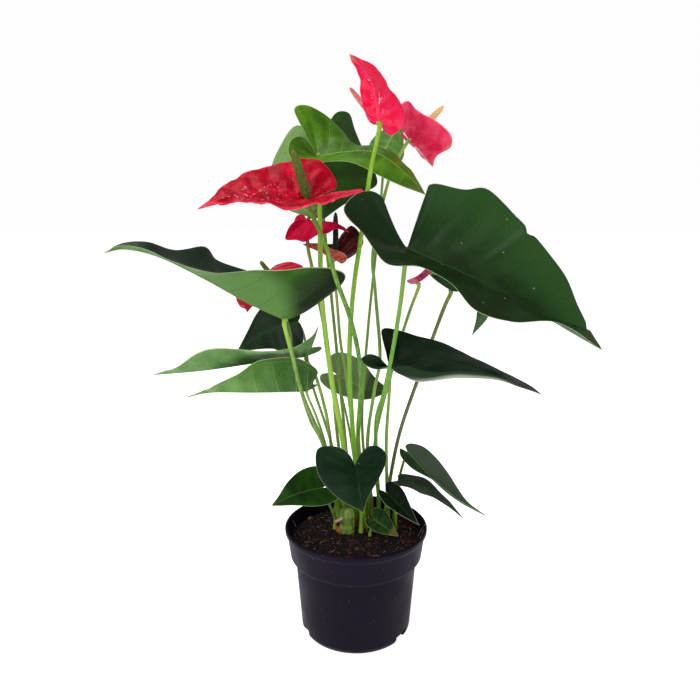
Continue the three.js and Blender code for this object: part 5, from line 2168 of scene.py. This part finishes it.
# ------------------------------------------------------------------------------------- tables
LEAVES = (
    Leaf(
        "leaf_right_large", tone=Tone.DARK, root=(22, 26), radius=1.85, taper=0.05,
        up=(0.13, -0.44, 0.89), via=((18, 10, 191), (24, -16, 231), (29, -38, 270), (34, -50, 311)),
        rib=((38, -60, 356), (76, -80, 340), (109, -97, 325), (168, -125, 291)),
        left=margin((-3, 10, 10), (-5, 20, 20), (-5, 27, 23), (8, 37, 21), (18, 45, 22),
            (37, 43, 17), (58, 37, 13), (77, 27, 8), (87, 15, 4), (95, 6, 1)),
        right=margin((-20, -5, 17), (-28, 4, 20), (-27, 19, 16), (-10, 26, 13), (6, 31, 8),
            (22, 28, 11), (42, 27, 9), (61, 27, 3), (74, 22, 3), (86, 9, 6)),
        nicks=((0.625, -1, 0.1), (0.885, -1, 0.35)),
        # Upper face: the lighter far half is painted light.
        upper=dict(deep="#16290f", light="#203a18", lit_half="#2a4e22", lit_half_start=0.1, lit_half_full=0.95,
            heel="#1b3218", heel_end=0.2, specks=0.5),
        stalk_skin=StalkFinish("right_stalk_skin", "#84b030", "#548a20", "#86b03c", "#40701c"),
    ),
    Leaf(
        "leaf_left_large", root=(-11, 18), radius=1.8, taper=0.1,
        up=(0.38, 0.35, 0.86), via=((-29, 9, 173), (-46, -13, 226), (-53, -32, 266)),
        rib=((-56, -50, 300), (-83, -54, 313), (-117, -58, 333), (-150, -62, 350), (-175, -64, 356),
            (-191, -66, 353)),
        left=margin((-6, 2, 8), (-13, 8, 16), (-18, 18, 27), (-15, 26, 30), (-2, 31, 26),
            (11, 32, 19), (25, 32, 11), (38, 22, 0), (54, 14, -2), (70, 9, 0)),
        right=margin((-4, 4, 8), (-6, 13, 17), (-2, 26, 25), (6, 40, 30), (16, 50, 29),
            (28, 53, 26), (40, 51, 22), (47, 43, 24), (57, 32, 13), (71, 11, 8), (84, 5, 4)),
        skins=(DARK[0], MID[1]), upper=dict(tip="#4c5644", tip_start=0.72),
        # Underside: near-black painted shade on the basal lobes and a lighter painted lit zone
        # towards the tip.
        under=dict(deep="#284a10", light="#36601c", vein="#5c8040", shine=0.1, vein_strength=0.2,
            lobe="#0c1c06", lobe_shade_start=3.6, lobe_shade_end=5.4, lit_patch="#527838", edge="#d4e0a8",
            edge_width=1.0, glow=0.1),
        stalk_skin=StalkFinish("large_stalk_skin", "#9cb850", "#5c7c30", "#8cc038", "#4f6a2c"),
    ),
    Leaf(
        "leaf_top_bright", tone=Tone.BRIGHT, root=(-2, 24), radius=2.8, taper=0.35, flare=0.9,
        flare_length=90, up=(-0.32, -0.43, 0.85),
        via=((-13, 16, 181), (-22, 8, 237), (-29, -10, 308), (-30, -16, 362)),
        rib=((-32, 2, 427), (-9, -8, 430), (14, -18, 429), (34, -26, 416), (54, -30, 396)),
        left=margin((-10, 12, 17), (-19, 25, 34), (-12, 34, 33), (0, 41, 18), (10, 43, 0),
            (18, 39, -12), (36, 34, -15), (62, 24, -13), (82, 15, -7)),
        right=margin((-8, 0, 20), (-13, 15, 23), (-10, 28, 17), (2, 31, 10), (30, 28, 6),
            (55, 26, 2), (80, 17, 0)), upper=dict(deep="#3d690c", light="#629a16"),
        under=dict(deep="#537f20", light="#6d9a34"),
        stalk_skin=StalkFinish("bright_stalk_skin", "#a8d038", "#8cb838", "#8fb84a", "#7aa034"),
    ),
    Leaf(
        "leaf_top_rear", tone=Tone.DARK, root=(-5, 36), radius=1.7, up=(0.04, -0.99, 0.14),
        via=((-12, 42, 190), (-20, 48, 275), (-28, 56, 357), (-33, 62, 410)),
        rib=((-34, 48, 439), (-31, 44, 409), (-29, 36, 375)),
        left=margin((-26, 17, -2), (-42, 30, -2), (-40, 47, -4), (-19, 53, -10), (6, 61, -13),
            (34, 72, -13), (56, 77, -11), (68, 57, -5), (83, 27, -2)),
        right=margin((-23, 11, -1), (-29, 30, -4), (-5, 52, -12), (21, 66, -13), (56, 70, -11),
            (81, 52, -9), (93, 26, -4)),
        # Upper face: the pale right half is painted sheen.
        upper=dict(deep="#223e16", light="#32521e", lit_half="#86ac60", lit_half_side=1, lit_half_share=0.8,
            lit_half_full=0.8),
    ),
    Leaf(
        "leaf_top_small", root=(12, 42), radius=1.5, up=(0.05, 1, -0.03),
        via=((6, 41, 188), (11, 42, 273), (20, 46, 365), (24, 48, 415)),
        rib=((25, 60, 434), (32, 60, 447), (43, 58, 463)), left=plain_side(0.52, 0.08),
        right=plain_side(0.44, 0.08),
    ),
    Leaf(
        "leaf_left_upper", root=(-16, 28), radius=1.8, up=(-0.14, 0.31, 0.94),
        via=((-23, 18, 171), (-28, 16, 205), (-37, 12, 240)),
        rib=((-45, 10, 257), (-81, 2, 254), (-130, -10, 249), (-173, -20, 247)),
        left=margin((-6, 7, 8), (-9, 16, 17), (-2, 22, 9), (13, 28, 3), (34, 30, 3), (56, 26, 9),
            (70, 20, 9), (84, 10, 3)),
        right=margin((-9, 2, 2), (-13, 9, 5), (-5, 16, 7), (25, 20, 8), (56, 18, 7), (83, 8, 3)),
        upper=dict(deep="#4f7c3a", light="#66954a"),
        under=dict(deep="#5b8546", light="#74a05c", edge="#cfdcb0", edge_width=1.6),
    ),
    Leaf(
        "leaf_left_lower", tone=Tone.BRIGHT, root=(-18, 38), radius=1.5, up=(-0.07, 0.43, 0.9),
        via=((-28, 28, 165), (-36, 20, 196)),
        rib=((-44, 10, 225), (-89, 2, 226), (-127, -6, 228), (-149, -10, 224)),
        left=margin((-8, 14, 11), (0, 27, 17), (12, 36, 20), (35, 38, 17), (50, 28, 7),
            (73, 9, 0)),
        right=margin((-5, 2, 3), (-11, 13, 7), (0, 28, 11), (28, 32, 10), (60, 20, 4)),
        under=dict(deep="#44761c", light="#629636", heel="#1f4c14", heel_end=0.6, vein_strength=0.3,
            glow=0.15),
    ),
    Leaf(
        "leaf_left_rear", tone=Tone.DARK, root=(-9, 47), radius=1.5, up=(-0.28, -0.8, 0.53),
        via=((-28, 50, 176), (-43, 58, 222), (-50, 77, 260)),
        rib=((-56, 68, 277), (-83, 72, 269), (-116, 72, 247)), left=plain_side(0.5, 0.1, 0.08),
        right=plain_side(0.5, 0.1, 0.08),
    ),
    Leaf(
        "leaf_right_middle", tone=Tone.DARK, root=(30, 20), radius=1.8, up=(-0.31, -0.13, 0.94),
        via=((28, 17, 172), (30, 19, 215)),
        rib=((30, 19, 245), (64, 6, 254), (106, -8, 249), (159, -18, 229)),
        left=margin((-1, 3, 5), (-1, 7, 13), (-2, 14, 22), (9, 23, 15), (22, 27, 6), (35, 27, 1),
            (55, 23, -4), (76, 14, -2), (90, 6, 0)),
        right=margin((-2, 6, 10), (-6, 12, 16), (-10, 17, 16), (-7, 21, 13), (0, 22, 9),
            (10, 22, 8), (19, 28, 5), (35, 29, -1), (60, 21, 2), (80, 12, 4)),
        # Upper face: the grey strip along the right margin and the pale strip beyond the slanting
        # line are painted sheen.
        upper=dict(hem="#2e4832", hem_side=1, hem_width=20.0, lit_patch="#e4eedc", lit_patch_side=1,
            lit_patch_start=11.6, lit_patch_slope=-4.0, heel="#0a1c0c", tip="#4a5048", tip_start=0.82,
            vein_strength=0.06, rib_strength=0.25), under=dict(deep="#3b5540", light="#56705a"),
    ),
    Leaf(
        "leaf_centre_rear", tone=Tone.BRIGHT, root=(3, 49), radius=1.5, up=(-0.07, -0.88, 0.48),
        via=((-5, 64, 163), (-14, 80, 202)), rib=((-18, 70, 224), (9, 62, 213), (35, 58, 211)),
        left=plain_side(0.42, 0.08), right=plain_side(0.3, 0.04),
        upper=dict(deep="#6c8454", light="#869a70", tip="#2c4428", tip_start=0.5,
            vein_strength=0.1),
        under=dict(deep="#708858", light="#8a9e74", tip="#2c4428", tip_start=0.5,
            vein_strength=0.1),
    ),
    Leaf(
        "leaf_right_rear", root=(30, 32), radius=1.8, taper=0, up=(0.1, -0.6, 0.8),
        via=((41, 42, 170), (61, 51, 230), (80, 46, 290)),
        rib=((86, 40, 312), (99, 32, 311), (110, 22, 301), (102, 10, 275)),
        left=margin((-16, 9, 6), (-37, 10, 15), (-52, 13, 29), (-32, 21, 27), (-11, 27, 22),
            (10, 24, 14), (31, 17, 0), (63, 16, -6), (78, 19, -4)),
        right=margin((5, 3, -1), (18, 5, 0), (36, 3, 1), (58, 6, -1), (76, 3, -3), (88, 1, 0)),
        skins=(DARK[0], MID[1]),
        # Upper face: the bright strip along the left margin is painted light.
        upper=dict(deep="#14301a", light="#1f4220", hem="#5c9038", hem_side=-1, hem_width=8.0,
            tip="#445a3c", tip_start=0.75), under=dict(deep="#4a7c2c", light="#659a3c"),
        stalk_skin=StalkFinish("rear_stalk_skin", "#8a9a5c", "#5c6440", "#7a8c34", "#4f5038"),
    ),
    Leaf(
        "leaf_front_heart", tone=Tone.DARK, root=(5, 4), radius=1.8, up=(-0.05, -0.73, 0.68),
        via=((0, 2, 140),), rib=((-1, -14, 163), (2, -28, 148), (6, -36, 128)),
        left=margin((-14, 9, 7), (-29, 30, 17), (-31, 52, 14), (-14, 68, 7), (6, 64, 0),
            (43, 40, -4), (76, 13, -1)),
        right=margin((-18, 7, 10), (-36, 23, 17), (-46, 50, 18), (-42, 75, 14), (-5, 81, 3),
            (33, 68, -6), (70, 38, -2), (87, 14, 4)),
        upper=dict(deep="#0c2412", light="#163016", vein_strength=0.05, rib_strength=0.15,
            edge="#8fa078", edge_width=0.5),
    ),
    Leaf(
        "leaf_low_left", tone=Tone.BRIGHT, root=(-20, 12), radius=1.4, up=(0.1, -0.42, 0.9), via=(),
        rib=((-31, 5, 134), (-53, -4, 132), (-76, -12, 124)), left=plain_side(0.42, 0.02),
        right=plain_side(0.46, 0.12), skins=MID,
        upper=dict(deep="#17340e", light="#265414", tip="#5a4a2c", vein_strength=0.08),
        under=dict(deep="#2c5418", light="#3f7024"),
    ),
    Leaf(
        "leaf_low_right", tone=Tone.DARK, root=(37, 24), radius=1.6, up=(0.55, -0.31, 0.78),
        via=((42, 31, 135),), rib=((49, 24, 161), (70, 11, 141), (92, -1, 125), (118, -11, 113)),
        left=margin((-7, 3, 0), (-6, 12, 3), (5, 22, 5), (26, 25, 6), (49, 19, 4), (75, 11, -1)),
        right=margin((-8, 7, 1), (0, 15, -1), (12, 16, 0), (28, 14, 5), (44, 11, 7), (71, 6, 5)),
        # Upper face: the grey left half is painted sheen.
        upper=dict(deep="#203a1a", light="#2e4e24", lit_half="#4e5c4c", lit_half_side=-1, vein="#7f9a5c",
            rib_strength=0.6, vein_strength=0.05),
    ),
    Leaf(
        "leaf_low_right_narrow", tone=Tone.DARK, root=(37, 10), radius=1.4, up=(-0.06, -0.11, 0.99),
        via=(), rib=((41, 19, 135), (64, 13, 134), (83, 5, 120), (100, 1, 104)),
        left=margin((-4, 6, 4), (4, 17, 2), (24, 19, -2), (48, 12, -2), (71, 8, -1)),
        right=margin((-9, 7, 1), (-8, 14, 1), (11, 21, 3), (34, 20, -3), (55, 14, 1), (74, 7, 2)),
        upper=dict(deep="#3c4836", light="#4e5846"),
    ),
    Leaf(
        "leaf_rim_right", tone=Tone.DARK, root=(27, 12), radius=1.4, up=(0.38, -0.57, 0.73), via=(),
        rib=((30, -3, 130), (41, -8, 120), (57, -14, 106)), left=plain_side(0.36, 0.08),
        right=plain_side(0.3, 0.05), upper=dict(deep="#081509", light="#10240f"),
    ),
    Leaf(
        "leaf_rim_small", tone=Tone.BRIGHT, root=(13, -3), radius=1.2, up=(0.05, -0.79, 0.61),
        via=(), rib=((17, 0, 105), (27, -4, 99), (39, -8, 92)), left=plain_side(0.44, 0.05),
        right=plain_side(0.36, 0.05), skins=MID,
        upper=dict(deep="#1a360e", light="#2c5216", tip="#77702c", tip_start=0.7, mottle=9),
    ),
)

FLOWERS = (
    Flower(
        "flower_top", bloom=Bloom.RED, spike=Spike.PINK, root=(7, 24), radius=2.4, taper=0.3,
        spadix_tip=(-6, -19, 478), spadix_radius=2.4, up=(-0.35, 0.84, 0.41),
        via=((-2, 20, 174), (-6, 6, 253), (-3, -10, 314), (4, -28, 367), (10, -43, 412),
            (14.5, -42, 434)), rib=((16, -32, 450), (14, -40, 463), (9, -50, 479), (-6, -62, 494)),
        left=margin((-11, 6, 0), (-22, 16, -2), (-22, 33, 7), (-9, 45, 17), (10, 46, 28),
            (28, 36, 31), (50, 26, 29), (73, 14, 23), (90, 5, 8)),
        right=margin((-2, 5, 2), (4, 10, 7), (20, 13, 14), (44, 13, 16), (71, 9, 12), (90, 3, 4)),
        # Underside: the pale streaks near the midrib are painted highlights.
        under=dict(streak="#ffd0dc", highlight_reach=0.42),
        stalk_skin=StalkFinish("red_stalk_skin", "#98c81c", "#6ca014", "#8cb02c", "#5c9020"),
        relief=replace(SPATHE_RELIEF, pucker=0.8, pucker_size=8, quilt=0.7),
    ),
    Flower(
        "flower_top_right", spike=Spike.YELLOW, root=(15, 32), radius=1.8,
        spadix_tip=(75, 34, 471), spadix_radius=3.3, spadix_taper=0.25, up=(0.69, 0.41, 0.6),
        via=((11, 30, 168), (17, 30, 219), (22, 30, 252), (17, 28, 313), (15, 26, 349),
            (28, 22, 409)), rib=((45, 20, 441), (54, 16, 433), (64, 10, 419)),
        left=margin((-36, 18, 15), (-45, 37, 16), (-11, 52, 28), (53, 35, 10)),
        right=margin((-34, 20, 0), (-73, 48, 27), (-65, 63, 50), (-27, 64, 46), (30, 78, 45),
            (80, 86, 50), (100, 66, 40), (90, 35, 12)),
    ),
    Flower(
        "flower_front", bloom=Bloom.RED, root=(8, 15), radius=2.2,
        spadix_tip=(-46, -84, 427), spadix_radius=3.5, spadix_taper=0.2, up=(0.16, -0.37, 0.91),
        via=((2, 10, 178), (4, -15, 235), (1.5, -33, 268), (-6, -58, 304), (-15, -76, 332),
            (-24, -84, 362)),
        rib=((-36, -82, 393), (-58, -92, 393), (-81, -102, 393), (-109, -112, 386)),
        left=margin((-17, 8, 8), (-38, 27, 21), (-25, 39, 21), (0, 47, 18), (20, 49, 14),
            (36, 49, 12), (55, 42, 12), (71, 31, 11), (89, 15, 8)),
        right=margin((-29, 7, 6), (-30, 18, 15), (-20, 34, 23), (-5, 41, 22), (10, 44, 16),
            (27, 47, 11), (45, 44, 7), (60, 37, 4), (75, 25, 2), (87, 10, 2)),
        # Upper face: the pale streaks are painted highlights; the paler hem is the near flap's own
        # colour.
        upper=dict(deep="#a0041c", light="#e00a34", gloss=0.03, mottle=8, shine=0.08,
            streak="#f888a0", highlight_reach=0.6, hem="#e82c50", hem_side=-1, hem_width=9.0),
        under=dict(deep="#d8143a", light="#f02c54", gloss=0.1),
        stalk_skin=StalkFinish("front_stalk_skin", "#8cc028", "#3c6a16", "#66842a", "#2e5814"),
        relief=replace(SPATHE_RELIEF, pucker=1.0, pucker_size=7, quilt=0.8, wave=0.45, waves=5),
    ),
    Flower(
        "flower_old_pink", root=(-8, 28), radius=1.6, taper=0,
        spadix_tip=(-31, 15, 388), spadix_radius=1.5, up=(0, -0.3, 0.95),
        via=((-17, 27, 173), (-24, 22, 252), (-37, 19, 325), (-42, 17, 352)),
        rib=((-42, 16, 375), (-29, 9, 374), (-16, 5, 372), (-6, 2, 365)),
        left=margin((-20, 12, 8), (-42, 20, -2), (-55, 24, -24), (-28, 36, -21), (9, 30, -19),
            (56, 17, -13)),
        right=margin((-11, 16, 6), (-22, 37, -3), (-24, 57, -26), (-1, 51, -27), (16, 48, -31),
            (26, 39, -27), (36, 31, -19), (53, 23, -15), (74, 14, -4)), skins=RED,
        upper=dict(deep="#b80430", light="#d80c40", gloss=0.01, vein="#98062c", vein_strength=0.1,
            shine=0.04, roughness=0.5),
        under=dict(deep="#b00828", light="#cc1038", gloss=0.01, shine=0.04, roughness=0.5,
            glow=0.1),
    ),
    Flower(
        "flower_old_maroon", bloom=Bloom.SHADED_MAROON, spike=Spike.DARK, root=(4, 39), radius=1.6,
        spadix_tip=(-18, 21, 382), spadix_radius=2.4, spadix_taper=0, up=(0, -0.2, 0.98),
        via=((-2, 32, 170), (-9, 24, 234), (-14, 18, 268), (-17, 12, 307)),
        rib=((-18, 8, 342), (-31, 6, 349), (-46, 5, 355)),
        left=margin((-19, 14, 2), (-22, 30, 22), (-5, 37, 36), (28, 38, 31), (53, 31, 26),
            (82, 16, 14)),
        right=margin((-27, 20, 6), (-46, 38, 30), (-53, 44, 70), (-26, 56, 90), (-2, 65, 92),
            (6, 66, 72), (8, 62, 45), (24, 50, 24), (58, 23, 14), (87, 12, 6)),
        # Upper face: its near-black reds are painted shade in the cupped interior.
        upper=dict(deep="#32040c", light="#640816", tip="#6a3020", gloss=0.1),
        under=dict(deep="#c43038", light="#cc7450", vein="#d8a070", edge="#d88a6a", tip="#b08c64",
            mottle=5, gloss=0.03),
    ),
    Flower(
        "flower_left_rear", root=(-20, 47), radius=1.5,
        spadix_tip=(-87, 41, 338), spadix_radius=2.1, spadix_taper=0.1, up=(-0.23, -0.77, 0.59),
        via=((-32, 47, 160), (-44, 47, 186), (-54, 48, 221), (-59, 37, 256), (-62, 43, 277)),
        rib=((-80, 44, 328), (-91, 36, 310), (-99, 32, 292)),
        left=margin((-22, 5, -5), (-41, 22, -12), (-48, 41, -21), (-45, 55, -24), (-14, 54, -26),
            (40, 35, -22), (74, 9, -5)),
        right=margin((10, 10, 1), (28, 27, 8), (51, 35, 14), (78, 30, 15), (93, 17, 8),
            (94, 5, 4)),
    ),
    Flower(
        "flower_right_rear", root=(22, 39), radius=1.6,
        taper=0, spadix_tip=(68, 28, 335), spadix_radius=1.3, up=(-0.4, -0.3, 0.85),
        via=((19, 42, 169), (40, 60, 250), (50, 50, 290)),
        rib=((54, 30, 319), (61, 28, 324), (71, 27, 333)),
        left=margin((-16, 12, 6), (-26, 19, 20), (5, 22, 7), (56, 22, 11), (89, 16, 11)),
        right=margin((-17, 10, 14), (-21, 13, 40), (19, 16, 32), (59, 9, 32), (90, 4, 25)),
        upper=dict(deep="#7c0c38", light="#a01c50", heel="#c0607c", heel_end=0.3),
        under=dict(deep="#7c0c38", light="#b02858", heel="#c8708c", heel_end=0.35),
    ),
)


SHEATHS = (
    Sheath("sheath_right", 13.5, 7.5, 19.0, 4.4, 2.4, -1.2, lean=0.06),
    Sheath("sheath_left", -15.5, 7.0, 9.0, 2.6, 3.0, 1.4, lean=-0.2),
    Sheath("sheath_back", 2.0, 17.0, 13.0, 5.0, 2.6, 1.6),
)
STRAY_ROOTS = Roots((
    ((52, 30, 88), (57, 33, 97), (60, 34, 103), (64, 33, 104), (67, 30, 100)),
    ((50, 34, 88), (55, 38, 98), (59, 40, 105), (60, 36, 107), (58, 32, 104)),
    ((58, -6, 88), (62, -8, 99), (66, -9, 103), (68.5, -8, 99), (70.5, -7, 93)),
    ((57, -2, 89), (62, -3, 100), (66, -3, 102.5), (68, -2, 98)),
    ((-56, 16, 88), (-60, 18, 98), (-62, 20, 104), (-59, 20, 106)),
))


def main() -> None:
    """Build the studio and the plant piece by piece."""
    logging.basicConfig(level=logging.INFO, format="%(message)s")
    Studio().build()
    pot = Pot()
    pot.build()
    Soil(pot).build()
    Crown().build()
    stalks, spadices = StalkGrower(), SpadixGrower()
    sheaths = joined("sheaths_skin", [sheath.mesh() for sheath in SHEATHS])
    place_piece("dry_sheaths", sheaths, "sheath")
    STRAY_ROOTS.build(stalks)
    for leaf in LEAVES:
        leaf.build(stalks)
    for flower in FLOWERS:
        flower.build(stalks, spadices)


if __name__ == "__main__":
    main()
